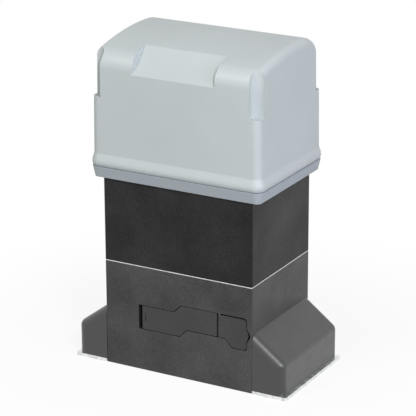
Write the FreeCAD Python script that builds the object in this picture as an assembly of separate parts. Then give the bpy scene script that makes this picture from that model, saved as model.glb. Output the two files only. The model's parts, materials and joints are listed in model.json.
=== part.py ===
import FreeCAD, Part
import math
import os

# Sliding gate motor, millimetres.
# The origin is the middle of the foundation plate's underside. +Z is up, the front faces -Y,
# and the pinion that drives the gate's rack stands out at the back, along +Y.

Vec = FreeCAD.Vector
ALONG_X = Vec(1, 0, 0)
ALONG_Y = Vec(0, 1, 0)
ALONG_Z = Vec(0, 0, 1)

TINY = 0.01             # when two places count as one

# Fits between pieces
FIT = 0.02              # seat of a bearing, seal or pressed piece
RUN = 0.05              # running clearance of a shaft in its bore, on the radius
THREAD_FIT = 0.08       # screw in its tapped hole, on the radius
BOLT_FIT = 0.3          # screw in its through hole, on the radius

# Foundation plate and what holds the housing down on it
PLATE_RIM = 3.6         # the plate stands out past the side covers by this
PLATE_INSET = 0.15      # and lies inside the housing front and rear by this
PLATE_T = 4.0
PLATE_CORNER_R = 2.0
ANCHOR_OUT = 19.0       # anchor slots, from the housing and from the plate's edge
ANCHOR_EDGE = 19.1
ANCHOR_SLOT_R = 5.5
ANCHOR_SLOT_L = 19.0
STUD_Y = 18.0
STUD_R = 4.0
STUD_H = 26.0
EAR_W = 30.0
EAR_T = 10.0
EAR_ROOM = 6.4          # between the end of a foot and its side cover
STUD_EDGE = 14.0        # from the end of a foot to its stud
EAR_CORNER_R = 6.0
EAR_ROOT = 20.0
EAR_SLOT_L = 17.0
WASHER_R = 8.5
WASHER_T = 1.6
NUT_FLATS = 13.0
NUT_H = 6.5

# The two cast housings
BODY_W = 190.0
BODY_D = 138.5
BODY_EDGE_R = 1.6
BODY_WALL = 6.0
PARTING_Z = 127.0
HOUSING_TOP_Z = 229.0
GASKET_T = 1.0
GASKET_INSET = 0.05
LIP_GAP = 0.8           # front and rear walls stop this far above the ground
LIP_T = 5.8
LIP_FIT = 0.3
FRONT_WALL = 19.25
REAR_WALL = 7.25
OIL_WALL_STEP = 15.7    # from the release plunger to the wall between gears and dry side
OIL_WALL_T = 4.0
FLOOR_TOP_Z = 22.0
FLOOR_BOTTOM_Z = 14.0
DRY_BACK_WALL = 17.25
DUCT_FRONT = 10.0       # the cable duct lies behind this Y
HOUSING_BOLT_INSET = 8.0
HOUSING_BOLT_R = 3.0
HOUSING_BOSS_R = 7.5
HOUSING_BOLT_DEPTH = 22.0
DECK_BOTTOM_Z = 138.0   # floor of the upper housing, which carries the motor
DECK_TOP_Z = 146.0

# Release recess in the front, with its lever and the flap over the lock
RECESS_LEFT = -51.3
RECESS_LOW = 50.6
RECESS_LOW_TOP = 80.2
RECESS_HIGH = 60.0
RECESS_HIGH_TOP = 89.4
STEP_TOP_X = -5.2
STEP_LOW_X = 2.4
DIVIDER_STEP = 6.6      # from the lever's pin to the gap between lever and flap
FLAP_STEP = 9.3         # from that gap to the step in the recess's lower edge
FLAP_EDGE = 6.4         # from the recess's right end to the side of the housing
FLAP_CORNER_R = 4.0
BULGE_EDGE = 1.8
BULGE_Z = 69.0
BULGE_HALF = 9.0
RECESS_DEPTH = 14.25
LEVER_GAP = 0.8
LEVER_END_GAP = 4.8
LEVER_T = 4.5
LEVER_SINK = 0.15
LEVER_RIB_H = 4.0
LEVER_GRIP_X = 3.8
LEVER_GRIP_W = 1.0
LEVER_GRIP_H = 9.5
FLAP_TOP_GAP = 1.7
BULGE_FINGER_GAP = 1.8
FLAP_T = 2.6
LEVER_PIN_X = 44.3
LEVER_PIN_SINK = 7.05
LEVER_PIN_R = 2.5
LEVER_PIN_L = 43.0
LEVER_HUB_R = 5.5
CAM_BASE = 6.0          # from the pin to the plunger when the lever is closed
CAM_LIFT = 6.0          # what a quarter turn of the lever adds
CAM_H = 14.0
CAM_GAP = 0.3
CAM_POCKET_R = 13.3
CAM_POCKET_H = 18.0
CAM_WALL_T = 7.0
FLAP_NOSE_R = 1.4       # round hinge end of the flap, about its upright pin
FLAP_PIN_R = 0.75
FLAP_PIN_Z = 53.0
FLAP_PIN_L = 44.0
FLAP_RIB_T = 1.6
LOCK_Z = 70.0
LOCK_ROOM = 2.5         # between the lock and the sides of the dry space
LOCK_FLANGE_RIM = 2.0
LOCK_FLANGE_T = 2.0
LOCK_LENGTH = 20.0
LOCK_SHELL = 3.5
LOCK_NUT_RIM = 1.9
LOCK_NUT_T = 4.0
LOCK_CAM_REACH = 11.0
LOCK_CAM_T = 2.5

# Worm drive: one-start worm, 30-tooth wheel
MODULE = 2.0
WHEEL_TEETH = 30
WORM_PITCH_R = 11.0
PRESSURE_ANGLE = 20.0
MESH_BACKLASH = 0.18
WORM_THREAD_L = 38.0
WHEEL_RIM_W = 20.0
OUTPUT_Z = 70.0
WHEEL_HUB_AHEAD = 19.0
WHEEL_HUB_BEHIND = 11.0
WHEEL_HUB_R = 23.0
WHEEL_WEB_T = 8.0
WHEEL_RIM_T = 5.0

# Dog clutch that lets the gate go when the lever is pulled
DOG_TEETH = 6
DOG_TOOTH_H = 4.5
DOG_TOOTH_ANGLE = 27.0
DOG_TOOTH_R0 = 15.2
DOG_TOOTH_R1 = 22.0
DOG_GAP = 0.5
DOG_R = 24.0
DOG_BODY_L = 16.0
DOG_GROOVE_STEP = 6.0
DOG_GROOVE_W = 5.0
DOG_GROOVE_R = 19.0
FORK_SIDE_GAP = 0.3
FORK_RIM = 6.5
FORK_BOSS_R = 8.5
FORK_BOSS_L = 11.0
PLUNGER_R = 4.5
PLUNGER_BITE = 4.0
PLUNGER_SEAL_R = 6.7
PLUNGER_SEAL_T = 3.0
GUIDE_R = 9.5
GUIDE_L = 16.0
SPLINE_R = 14.5
SPLINE_W = 4.5
SPLINE_STOP = 8.0
SPRING_WIRE = 2.0
SPRING_R = 7.2
SPRING_COILS = 4

# Output shaft and its bearings (bore radius, outside radius, width)
FRONT_BEARING = (10.0, 21.0, 12.0)
REAR_BEARING = (12.5, 26.0, 15.0)
FRONT_BEARING_STEP = 3.0
REAR_BEARING_STEP = 20.0
SHAFT_COLLAR_R = 16.0
SHAFT_COLLAR_T = 4.0
OUTPUT_SEAL_T = 7.0
SEAL_SINK = 2.75
BOSS_WALL = 6.0
PINION_TEETH = 16
PINION_MODULE = 4.0
PINION_GAP = 2.25
PINION_W = 36.0
PINION_SEAT_R = 11.0
PINION_HUB_R = 20.0
PINION_DISH = 4.0
KEY_W = 6.0
KEY_L = 26.0
KEY_SINK = 3.5
KEY_RISE = 2.6
KEY_TOP_GAP = 0.1
PINION_WASHER_R = 16.0
PINION_WASHER_T = 3.0
PINION_SCREW_R = 4.0
PINION_SCREW_L = 24.0
PINION_SCREW_HEAD = 5.3

# Worm shaft, its bearings and the motor clutch above it
LOW_BEARING = (7.5, 17.5, 11.0)
MID_BEARING = (8.5, 20.0, 12.0)
LOW_BEARING_Z = 19.0
MID_BEARING_Z = 98.0
CARRIER_Z = 104.0
CARRIER_T = 8.0
CARRIER_R = 36.0
CARRIER_EAR_R = 8.0
CARRIER_PILLAR_R = 7.0
CARRIER_SCREW_R = 3.0
CARRIER_SCREW_L = 18.0
CARRIER_LEFT_EDGE = 9.0
CARRIER_RIGHT_REACH = 43.0
CARRIER_BACK_REACH = 30.0
WORM_TOP_Z = 128.0
CLUTCH_FLANGE_Z = 113.0
CLUTCH_FLANGE_T = 2.5
CLUTCH_HUB_R = 13.0
CLUTCH_DISC_R = 27.5
CLUTCH_DISC_T = 2.0
CLUTCH_GAP = 0.1
DISC_SPRING_R0 = 9.0
DISC_SPRING_R1 = 20.0
DISC_SPRING_T = 1.2
DISC_SPRING_H = 3.4
DRUM_R = 33.0
DRUM_WALL = 3.0
DRUM_TOP_T = 3.5
DRUM_TOP_Z = 135.5
DRUM_SKIRT = 22.0

# Motor
TOP_BEARING = (7.5, 17.5, 11.0)
MOTOR_BEARING_Z = 147.0
TOP_BEARING_Z = 244.0
MOTOR_SEAL_R = 15.0
MOTOR_SEAL_T = 7.0
STATOR_Z = 168.0
STATOR_H = 60.0
STATOR_COVER = 3.5      # metal of the housing's side outside the motor's barrel
STATOR_BORE_R = 25.2
AIR_GAP = 0.4
BARREL_WALL = 3.5
WINDING_R0 = 28.0
WINDING_EDGE = 3.0
WINDING_H = 14.0
WINDING_ROUND = 5.0
ROTOR_RING_H = 8.0
MOTOR_SHAFT_R = 10.0
MOTOR_SHAFT_TOP = 262.0
ROD_R = 3.0
ROD_FOOT_R = 12.0
ROD_FOOT_GAP = 0.4
ADJUST_SCREW_R = 5.0
ADJUST_SCREW_L = 14.0
ADJUST_SCREW_RISE = 6.0
SHIELD_FLANGE_T = 5.0
SHIELD_TOP_Z = 247.0
SHIELD_PLATE_T = 4.0
SHIELD_CAP_Z = 257.0
SHIELD_SCREW_R = 2.0
SHIELD_SCREW_HEAD_R = 3.5
SHIELD_SCREW_HEAD_H = 4.0
SHIELD_SCREW_L = 26.0
SHIELD_EAR_R = 6.5
SHIELD_EAR_OUT = 3.95

# Tray, cover and seal
TRAY_Z = 227.0
SEAM_Z = 240.0
SEAM_GAP = 0.3
TRAY_BOTTOM_IN = 1.3    # the tray's lower edge lies inside the cover's walls, on each side
TRAY_RIM_OUT = 2.1      # and its rim stands out past them
TRAY_BOTTOM_R = 6.0
TRAY_TOP_R = 11.0
TRAY_FLOOR_T = 3.0
TRAY_WALL = 6.3
TRAY_FIT = 0.3
SEAL_INSET = 2.5
SEAL_W = 1.2
SEAL_DEPTH = 1.2
COVER_OVERHANG_X = 11.9
COVER_OVERHANG_Y = 5.35
COVER_TOP_Z = 386.0
COVER_APEX_Y = 26.0     # the roof is highest behind the middle
COVER_ARCH_R = 340.0
COVER_FRONT_R = 22.0
COVER_BACK_R = 36.0
COVER_DRAFT = 0.9       # degrees that the cover's ends lean in above the skirt
COVER_SIDE_R = 9.0
COVER_WALL = 3.0
SKIRT_TOP_Z = 257.0
SKIRT_ROLL = 2.5
SCREW_INSET = 6.2       # from the cover's walls to its corner screws
POCKET_INSET = 5.1       # and to the middles of the pockets above them
POCKET_R = 9.5
POCKET_FLOOR_Z = 321.0
POCKET_WALL = 2.5
COVER_SCREW_R = 1.9
COVER_SCREW_HEAD_R = 2.8
COVER_SCREW_HEAD_H = 4.0
COVER_SCREW_SINK = 10.0
COVER_SCREW_BITE = 9.0
COLUMN_R = 4.5
BADGE_LEFT = -53.0
BADGE_RIGHT = 51.0
BADGE_LOW_Z = 351.5
BADGE_HIGH_Y = -44.6
BADGE_HIGH_Z = 378.0

# Side covers over the feet
FOOT_OUT = 39.0
FOOT_INSET = 0.35
FOOT_TOP_Z = 71.0
FOOT_SHOULDER_Z = 41.7
FOOT_EDGE_R = 9.0
FOOT_WALL = 2.5
FOOT_HOOK_T = 3.0

# Electronics under the cover
BOARD_EDGE = 22.5       # from the board's ends to the cover
BOARD_H = 86.0
BOARD_T = 1.6
BOARD_Z = 270.0
BOARD_FRONT = 29.0
BOARD_X = -3.0
CARRIER_PLATE_T = 3.0
CARRIER_MARGIN = 6.0
STANDOFF = 3.4
STANDOFF_R = 3.0
LEG_W = 7.0
LEG_DEPTH = 10.0
CAPACITOR_X = 58.0
CAPACITOR_STEP = 32.0
CAPACITOR_R = 18.5
CAPACITOR_H = 88.0
CLAMP_H = 22.0
CLAMP_T = 2.0
CLAMP_FOOT = 6.0
TRANSFORMER_X = 38.0
TRANSFORMER_Y = 37.0
CORE_W = 44.0
CORE_D = 26.0
CORE_H = 46.0
COIL_D = 44.0
COIL_ROUND = 6.0
TRANSFORMER_FOOT_H = 4.0
TERMINAL_COUNT = 5
TERMINAL_W = 26.0
TERMINAL_EDGE = 7.5
RELAY_COUNT = 3
RELAY_PITCH = 26.0
GROMMET_T = 2.0
PLUG_R = 7.0
PLUG_X = -62.0
DRAIN_Z = 32.0
FILLER_Z = 112.0
SENSOR_W = 44.0
SENSOR_D = 13.0
SENSOR_H = 12.0
SENSOR_Z = 112.0

# Places that follow from the sizes above
BODY_X = BODY_W / 2
BODY_Y = BODY_D / 2
FRONT_Y = -BODY_Y
CHAMBER_X = BODY_X - BODY_WALL
CHAMBER_FRONT = FRONT_Y + FRONT_WALL
CHAMBER_BACK = BODY_Y - REAR_WALL
RECESS_FLOOR_Y = FRONT_Y + RECESS_DEPTH
LOWER_TOP_Z = PARTING_Z - GASKET_T / 2
UPPER_BOTTOM_Z = PARTING_Z + GASKET_T / 2

FOOT_REACH = BODY_X + FOOT_OUT
FOOT_HALF_D = BODY_Y - FOOT_INSET
PLATE_HALF_W = FOOT_REACH + PLATE_RIM
PLATE_HALF_D = BODY_Y - PLATE_INSET
ANCHOR_X = BODY_X + ANCHOR_OUT
ANCHOR_Y = PLATE_HALF_D - ANCHOR_EDGE
EAR_REACH = FOOT_OUT - FOOT_WALL - EAR_ROOM
STUD_X = BODY_X + EAR_REACH - STUD_EDGE

WHEEL_Y = CHAMBER_FRONT + CARRIER_R
WHEEL_PITCH_R = MODULE * WHEEL_TEETH / 2
WHEEL_ROOT_R = WHEEL_PITCH_R - 1.2 * MODULE
WHEEL_HUB_FRONT = WHEEL_Y - WHEEL_HUB_AHEAD
WHEEL_HUB_BACK = WHEEL_Y + WHEEL_HUB_BEHIND
WORM_X = -(WORM_PITCH_R + WHEEL_PITCH_R)
WORM_Y = WHEEL_Y
WORM_LEAD = math.pi * MODULE
LEAD_ANGLE = math.atan(WORM_LEAD / (2 * math.pi * WORM_PITCH_R))
CARRIER_LEFT = -CHAMBER_X + CARRIER_LEFT_EDGE
CARRIER_RIGHT = WORM_X + CARRIER_RIGHT_REACH
CARRIER_FRONT = CHAMBER_FRONT + CARRIER_PILLAR_R
CARRIER_BACK = WORM_Y + CARRIER_BACK_REACH

FRONT_BEARING_Y = CHAMBER_FRONT + FRONT_BEARING_STEP
REAR_BEARING_Y = CHAMBER_BACK - REAR_BEARING_STEP
SPLINE_END = REAR_BEARING_Y - SHAFT_COLLAR_T - SPLINE_STOP
SEAL_Y = BODY_Y - SEAL_SINK - OUTPUT_SEAL_T
PINION_Y = BODY_Y + PINION_GAP
PINION_PITCH_R = PINION_MODULE * PINION_TEETH / 2
DOG_FRONT = WHEEL_HUB_BACK + DOG_TOOTH_H + DOG_GAP
DOG_GROOVE_Y = DOG_FRONT + DOG_GROOVE_STEP

LEVER_PIN_Y = FRONT_Y + LEVER_PIN_SINK
PLUNGER_FRONT = LEVER_PIN_Y + CAM_BASE + CAM_GAP
GUIDE_BACK_Y = CHAMBER_BACK - GUIDE_L
PLUNGER_BACK = GUIDE_BACK_Y + PLUNGER_BITE
DIVIDER_X = LEVER_PIN_X + DIVIDER_STEP
FLAP_STEP_X = DIVIDER_X + FLAP_STEP
FLAP_RIGHT = BODY_X - FLAP_EDGE
BULGE_X = BODY_X - BULGE_EDGE
FLAP_PIN_X = DIVIDER_X + LEVER_GAP + FLAP_NOSE_R
FLAP_PIN_Y = FRONT_Y + LEVER_SINK + FLAP_NOSE_R

OIL_WALL_X = LEVER_PIN_X + OIL_WALL_STEP
DRY_FRONT = CHAMBER_FRONT
DRY_BACK = BODY_Y - DRY_BACK_WALL
DUCT_X0 = OIL_WALL_X + OIL_WALL_T
DUCT_X1 = CHAMBER_X - 1.0
DUCT_BACK = DRY_BACK - 2.0
LOCK_X = (DUCT_X0 + DUCT_X1) / 2
LOCK_R = (DUCT_X1 - DUCT_X0) / 2 - LOCK_ROOM
LOCK_FLANGE_R = LOCK_R + LOCK_FLANGE_RIM
LOCK_NUT_R = LOCK_R + LOCK_NUT_RIM
LOCK_PLUG_R = LOCK_R - LOCK_SHELL

BARREL_R = BODY_X + WORM_X - STATOR_COVER
STATOR_R = BARREL_R - BARREL_WALL
STATOR_TOP = STATOR_Z + STATOR_H
WINDING_R1 = STATOR_R - WINDING_EDGE
SHIELD_EAR_OFFSET = (BARREL_R + SHIELD_EAR_OUT) / math.sqrt(2)

COVER_X = BODY_X + COVER_OVERHANG_X
COVER_Y = BODY_Y + COVER_OVERHANG_Y
COVER_BOTTOM_Z = SEAM_Z + SEAM_GAP
TRAY_RIM_Z = SEAM_Z - SEAM_GAP
TRAY_DECK_Z = HOUSING_TOP_Z + TRAY_FLOOR_T
BOARD_W = 2 * (COVER_X - BOARD_EDGE)
BOARD_Y = -COVER_Y + BOARD_FRONT
TERMINAL_PITCH = (BOARD_W - 2 * TERMINAL_EDGE) / TERMINAL_COUNT
CAPACITOR_Y = BOARD_Y + CAPACITOR_STEP


# Basic shapes

def box(x0, x1, y0, y1, z0, z1):
    return Part.makeBox(x1 - x0, y1 - y0, z1 - z0, Vec(x0, y0, z0))


def rod(radius, start, end):
    """Solid cylinder between two points."""
    axis = end - start
    return Part.makeCylinder(radius, axis.Length, start, axis)


def tube(outer, inner, start, end):
    """Hollow cylinder between two points."""
    axis = end - start
    axis.normalize()
    return rod(outer, start, end).cut(rod(inner, start - axis, end + axis))


def upright(radius, x, y, z0, z1):
    return rod(radius, Vec(x, y, z0), Vec(x, y, z1))


def along_y(radius, x, z, y0, y1):
    return rod(radius, Vec(x, y0, z), Vec(x, y1, z))


def worm_point(z):
    return Vec(WORM_X, WORM_Y, z)


def output_point(y):
    return Vec(0, y, OUTPUT_Z)


def plunger_point(y):
    return Vec(LEVER_PIN_X, y, OUTPUT_Z)


def on_worm(radius, z0, z1):
    """Cylinder about the upright axis of the worm and motor."""
    return rod(radius, worm_point(z0), worm_point(z1))


def on_output(radius, y0, y1):
    """Cylinder about the output shaft's axis."""
    return rod(radius, output_point(y0), output_point(y1))


def on_plunger(radius, y0, y1):
    """Cylinder about the axis of the release plunger."""
    return rod(radius, plunger_point(y0), plunger_point(y1))


def fuse(pieces):
    first, *rest = pieces
    return first.multiFuse(rest).removeSplitter() if rest else first


def cut(body, tools):
    return body.cut(tools) if tools else body


def rounded_wire(half_x, half_y, z, radius, centre_x=0.0, centre_y=0.0):
    """Rectangle with round corners, flat at height z."""
    corners = [(1, -1), (1, 1), (-1, 1), (-1, -1)]
    swing = 1 - math.sqrt(0.5)
    edges = []
    previous = None
    first = None
    for index, (sx, sy) in enumerate(corners):
        cx = centre_x + sx * half_x
        cy = centre_y + sy * half_y
        on_x = Vec(cx - sx * radius, cy, z)
        on_y = Vec(cx, cy - sy * radius, z)
        middle = Vec(cx - sx * radius * swing, cy - sy * radius * swing, z)
        start, end = (on_x, on_y) if index % 2 == 0 else (on_y, on_x)
        if previous:
            edges.append(Part.LineSegment(previous, start).toShape())
        else:
            first = start
        edges.append(Part.Arc(start, middle, end).toShape())
        previous = end
    edges.append(Part.LineSegment(previous, first).toShape())
    return Part.Wire(edges)


def rounded_block(x0, x1, y0, y1, z0, z1, radius):
    wire = rounded_wire((x1 - x0) / 2, (y1 - y0) / 2, z0, radius, (x0 + x1) / 2, (y0 + y1) / 2)
    return Part.Face(wire).extrude(Vec(0, 0, z1 - z0))


def slot_block(x, y, z0, z1, length, radius):
    """Slot along X with round ends."""
    reach = length / 2 - radius
    middle = box(x - reach, x + reach, y - radius, y + radius, z0, z1)
    ends = [upright(radius, x + side * reach, y, z0, z1) for side in (-1, 1)]
    return fuse([middle] + ends)


def hexagon(flats, centre, axis, height):
    """Hexagonal prism that starts at centre and grows along axis."""
    radius = flats / math.sqrt(3)
    points = [Vec(radius * math.cos(math.radians(60 * i)), radius * math.sin(math.radians(60 * i)), 0)
              for i in range(7)]
    prism = Part.Face(Part.makePolygon(points)).extrude(Vec(0, 0, height))
    prism.Placement = FreeCAD.Placement(centre, FreeCAD.Rotation(ALONG_Z, axis))
    return prism


def revolve_z(points, x, y):
    """Turned piece about an upright axis: points are (radius, height)."""
    outline = [Vec(x + r, y, z) for r, z in points]
    face = Part.Face(Part.makePolygon(outline + outline[:1]))
    return face.revolve(Vec(x, y, 0), ALONG_Z, 360)


def revolve_y(points, x, z):
    """Turned piece about an axis along Y: points are (radius, y)."""
    outline = [Vec(x + r, y, z) for r, y in points]
    face = Part.Face(Part.makePolygon(outline + outline[:1]))
    return face.revolve(Vec(x, 0, z), ALONG_Y, 360)


def path_wire(points, radii, to_point):
    """Closed outline through points, with each corner rounded by its own radius."""
    count = len(points)
    edges = []
    starts = []
    ends = []
    middles = []
    for i in range(count):
        here = Vec(points[i][0], points[i][1], 0)
        back = Vec(points[i - 1][0], points[i - 1][1], 0) - here
        ahead = Vec(points[(i + 1) % count][0], points[(i + 1) % count][1], 0) - here
        back.normalize()
        ahead.normalize()
        half = math.acos(max(-1.0, min(1.0, back.dot(ahead)))) / 2
        radius = radii[i]
        run = radius / math.tan(half)
        centre_way = back + ahead
        centre_way.normalize()
        centre = here + centre_way * (radius / math.sin(half))
        starts.append(here + back * run)
        ends.append(here + ahead * run)
        middles.append(centre - centre_way * radius)
    for i in range(count):
        if radii[i] > 0:
            edges.append(Part.Arc(to_point(starts[i]), to_point(middles[i]), to_point(ends[i])).toShape())
        edges.append(Part.LineSegment(to_point(ends[i]), to_point(starts[(i + 1) % count])).toShape())
    return Part.Wire(edges)


def front_prism(points, radii, y0, y1):
    """Plate parallel to the front, from an outline in X and Z."""
    wire = path_wire(points, radii, lambda p: Vec(p.x, y0, p.y))
    return Part.Face(wire).extrude(Vec(0, y1 - y0, 0))


def edges_where(shape, test):
    return [edge for edge in shape.Edges if test(edge)]


def edges_at_height(shape, z):
    return edges_where(shape, lambda e: abs(e.BoundBox.ZMin - z) < TINY and abs(e.BoundBox.ZMax - z) < TINY)


def socket_screw(x, y, seat_z, radius, head_r, head_h, length, socket):
    """Upright socket screw whose head rests on seat_z."""
    screw = fuse([upright(head_r, x, y, seat_z, seat_z + head_h),
                  upright(radius, x, y, seat_z - length, seat_z)])
    return screw.cut(hexagon(socket, Vec(x, y, seat_z + head_h * 0.4), ALONG_Z, head_h))


def ring_bearing(size, seat, axis):
    """Ball bearing with shields: rings standing proud of a recessed shield on both sides."""
    bore, outer, width = size
    land = (outer - bore) * 0.22
    sink = 0.6
    points = [(bore, 0), (bore + land, 0), (bore + land, sink), (outer - land, sink), (outer - land, 0),
              (outer, 0), (outer, width), (outer - land, width), (outer - land, width - sink),
              (bore + land, width - sink), (bore + land, width), (bore, width)]
    ring = revolve_z(points, 0, 0)
    ring.Placement = FreeCAD.Placement(seat, FreeCAD.Rotation(ALONG_Z, axis))
    return ring


def lip_seal(bore, outer, width, seat, axis):
    """Shaft seal: a cup with a lip that stops just short of the shaft."""
    wall = 1.5
    points = [(bore + 2.2, 0), (outer, 0), (outer, width), (outer - wall, width), (outer - wall, wall),
              (bore + 2.2, wall), (bore + 1.2, width * 0.6), (bore, width * 0.5), (bore + 0.9, wall)]
    ring = revolve_z(points, 0, 0)
    ring.Placement = FreeCAD.Placement(seat, FreeCAD.Rotation(ALONG_Z, axis))
    return ring


def corners_of(half_x, half_y):
    return [(sx * half_x, sy * half_y) for sx in (-1, 1) for sy in (-1, 1)]


# Foundation plate, studs, nuts and washers

def foundation_plate():
    """Plate notched at its front and back for the housing's walls, which pass it there."""
    x = PLATE_HALF_W
    y = PLATE_HALF_D
    plate = rounded_block(-x, x, -y, y, 0, PLATE_T, PLATE_CORNER_R)
    notch_x = BODY_X + LIP_FIT
    notch_y = BODY_Y - LIP_T - LIP_FIT
    cuts = [box(-notch_x, notch_x, y0, y1, -1, PLATE_T + 1)
            for y0, y1 in ((-y - 1, -notch_y), (notch_y, y + 1))]
    cuts += [slot_block(x, y, -1, PLATE_T + 1, ANCHOR_SLOT_L, ANCHOR_SLOT_R)
             for x, y in corners_of(ANCHOR_X, ANCHOR_Y)]
    cuts.append(rounded_block(DUCT_X0, DUCT_X1, DUCT_FRONT, DUCT_BACK, -1, PLATE_T + 1, 4))
    return cut(plate, cuts)


def stud_group(make):
    return Part.makeCompound([make(x, y) for x, y in corners_of(STUD_X, STUD_Y)])


def plate_studs():
    return stud_group(lambda x, y: upright(STUD_R, x, y, PLATE_T, PLATE_T + STUD_H))


def stud_washers():
    seat = PLATE_T + EAR_T
    hole = STUD_R + BOLT_FIT
    return stud_group(lambda x, y: tube(WASHER_R, hole, Vec(x, y, seat), Vec(x, y, seat + WASHER_T)))


def stud_nuts():
    seat = PLATE_T + EAR_T + WASHER_T

    def nut(x, y):
        blank = hexagon(NUT_FLATS, Vec(x, y, seat), ALONG_Z, NUT_H)
        return blank.cut(upright(STUD_R + THREAD_FIT, x, y, seat - 1, seat + NUT_H + 1))

    return stud_group(nut)


# Release recess: one outline, from which the lever and the flap take theirs

def recess_points():
    """Outline of the recess in X and Z, from its lower left corner."""
    low_slope = RECESS_HIGH - RECESS_LOW
    top_slope = RECESS_HIGH_TOP - RECESS_LOW_TOP
    return [(RECESS_LEFT, RECESS_LOW), (STEP_LOW_X, RECESS_LOW),
            (STEP_LOW_X + low_slope, RECESS_HIGH), (FLAP_STEP_X, RECESS_HIGH),
            (FLAP_STEP_X + low_slope, RECESS_LOW), (FLAP_RIGHT, RECESS_LOW),
            (FLAP_RIGHT, BULGE_Z - BULGE_HALF), (BULGE_X, BULGE_Z), (FLAP_RIGHT, BULGE_Z + BULGE_HALF),
            (FLAP_RIGHT, RECESS_HIGH_TOP), (STEP_TOP_X + top_slope, RECESS_HIGH_TOP),
            (STEP_TOP_X, RECESS_LOW_TOP), (RECESS_LEFT, RECESS_LOW_TOP)]


def recess_radii():
    small = 0.8
    soft = 1.8
    return [small, small, small, soft, small, FLAP_CORNER_R, soft, soft, soft, FLAP_CORNER_R,
            small, small, small]


def lever_points():
    gap = LEVER_GAP
    low_slope = RECESS_HIGH - RECESS_LOW
    top_slope = RECESS_HIGH_TOP - RECESS_LOW_TOP
    turn = gap * math.tan(math.pi / 8)
    left = RECESS_LEFT + LEVER_END_GAP
    right = DIVIDER_X - gap
    return [(left, RECESS_LOW + gap), (STEP_LOW_X - turn, RECESS_LOW + gap),
            (STEP_LOW_X + low_slope - turn, RECESS_HIGH + gap), (right, RECESS_HIGH + gap),
            (right, RECESS_HIGH_TOP - gap), (STEP_TOP_X + top_slope + turn, RECESS_HIGH_TOP - gap),
            (STEP_TOP_X + turn, RECESS_LOW_TOP - gap), (left, RECESS_LOW_TOP - gap)]


def flap_points():
    gap = LEVER_GAP
    low_slope = RECESS_HIGH - RECESS_LOW
    turn = gap * math.tan(math.pi / 8)
    left = DIVIDER_X + gap
    right = FLAP_RIGHT - gap
    bulge = BULGE_X - FLAP_RIGHT - BULGE_FINGER_GAP
    top = RECESS_HIGH_TOP - FLAP_TOP_GAP
    return [(left, RECESS_HIGH + gap), (FLAP_STEP_X + turn, RECESS_HIGH + gap),
            (FLAP_STEP_X + low_slope + turn, RECESS_LOW + gap), (right, RECESS_LOW + gap),
            (right, BULGE_Z - BULGE_HALF), (right + bulge, BULGE_Z), (right, BULGE_Z + BULGE_HALF),
            (right, top), (left, top)]


def cam_solid():
    """Cam that lifts a flat follower evenly as the lever turns: an involute of a circle."""
    rate = CAM_LIFT / (math.pi / 2)
    z0 = OUTPUT_Z - CAM_H / 2

    def on_cam(phi):
        lift = CAM_BASE + rate * (math.pi / 2 - phi)
        x = lift * math.cos(phi) + rate * math.sin(phi)
        y = lift * math.sin(phi) - rate * math.cos(phi)
        return Vec(LEVER_PIN_X + x, LEVER_PIN_Y + y, z0)

    flank = Part.Arc(on_cam(math.pi / 2), on_cam(math.pi / 4), on_cam(0)).toShape()
    hub = Vec(LEVER_PIN_X, LEVER_PIN_Y, z0)
    front = Vec(LEVER_PIN_X, LEVER_PIN_Y - LEVER_HUB_R * 0.7, z0)
    back = Vec(LEVER_PIN_X, LEVER_PIN_Y + LEVER_HUB_R, z0)
    edges = [Part.LineSegment(back, on_cam(math.pi / 2)).toShape(), flank,
             Part.LineSegment(on_cam(0), front).toShape(), Part.LineSegment(front, hub).toShape(),
             Part.LineSegment(hub, back).toShape()]
    return Part.Face(Part.Wire(edges)).extrude(Vec(0, 0, CAM_H))


def release_lever():
    front = FRONT_Y + LEVER_SINK
    back = front + LEVER_T
    small = 0.8
    points = lever_points()
    plate = front_prism(points, [small] * len(points), front, back)
    # The hinge end is turned about the pin, so that it passes behind the flap's edge
    sweep_r = math.hypot(DIVIDER_X + LEVER_GAP - 0.1 - LEVER_PIN_X,
                         LEVER_PIN_Y - (front + FLAP_T) - 0.35)
    z0 = RECESS_HIGH
    z1 = RECESS_HIGH_TOP
    end_block = box(LEVER_PIN_X, DIVIDER_X + 1, front - 1, back + 1, z0, z1)
    plate = plate.cut(end_block.cut(upright(sweep_r, LEVER_PIN_X, LEVER_PIN_Y, z0, z1)))
    hub = upright(LEVER_HUB_R, LEVER_PIN_X, LEVER_PIN_Y, RECESS_HIGH + LEVER_GAP, RECESS_HIGH_TOP - LEVER_GAP)
    left = RECESS_LEFT + LEVER_END_GAP
    rib_low = RECESS_LOW + LEVER_GAP + 2
    rib_top = RECESS_LOW_TOP - LEVER_GAP - 2
    rib_back = back + LEVER_RIB_H
    ribs = [box(left + 2, LEVER_PIN_X, back - 0.5, rib_back, z - 1, z + 1)
            for z in (RECESS_HIGH + 4, rib_top - 2)]
    hook = box(left + 1.5, left + 4, back - 0.5, rib_back, rib_low, rib_top)
    lever = fuse([plate, hub, cam_solid(), hook] + ribs)
    grip_x = left + LEVER_GRIP_X
    grip_z = (RECESS_LOW + RECESS_LOW_TOP - LEVER_GRIP_H) / 2
    grip = box(grip_x, grip_x + LEVER_GRIP_W, front - 1, front + 0.9, grip_z, grip_z + LEVER_GRIP_H)
    bore = upright(LEVER_PIN_R + RUN, LEVER_PIN_X, LEVER_PIN_Y, z0 - 1, z1 + 1)
    return cut(lever, [grip, bore])


def lever_pin():
    low = OUTPUT_Z + 5 - LEVER_PIN_L / 2
    return upright(LEVER_PIN_R, LEVER_PIN_X, LEVER_PIN_Y, low, low + LEVER_PIN_L)


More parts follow.
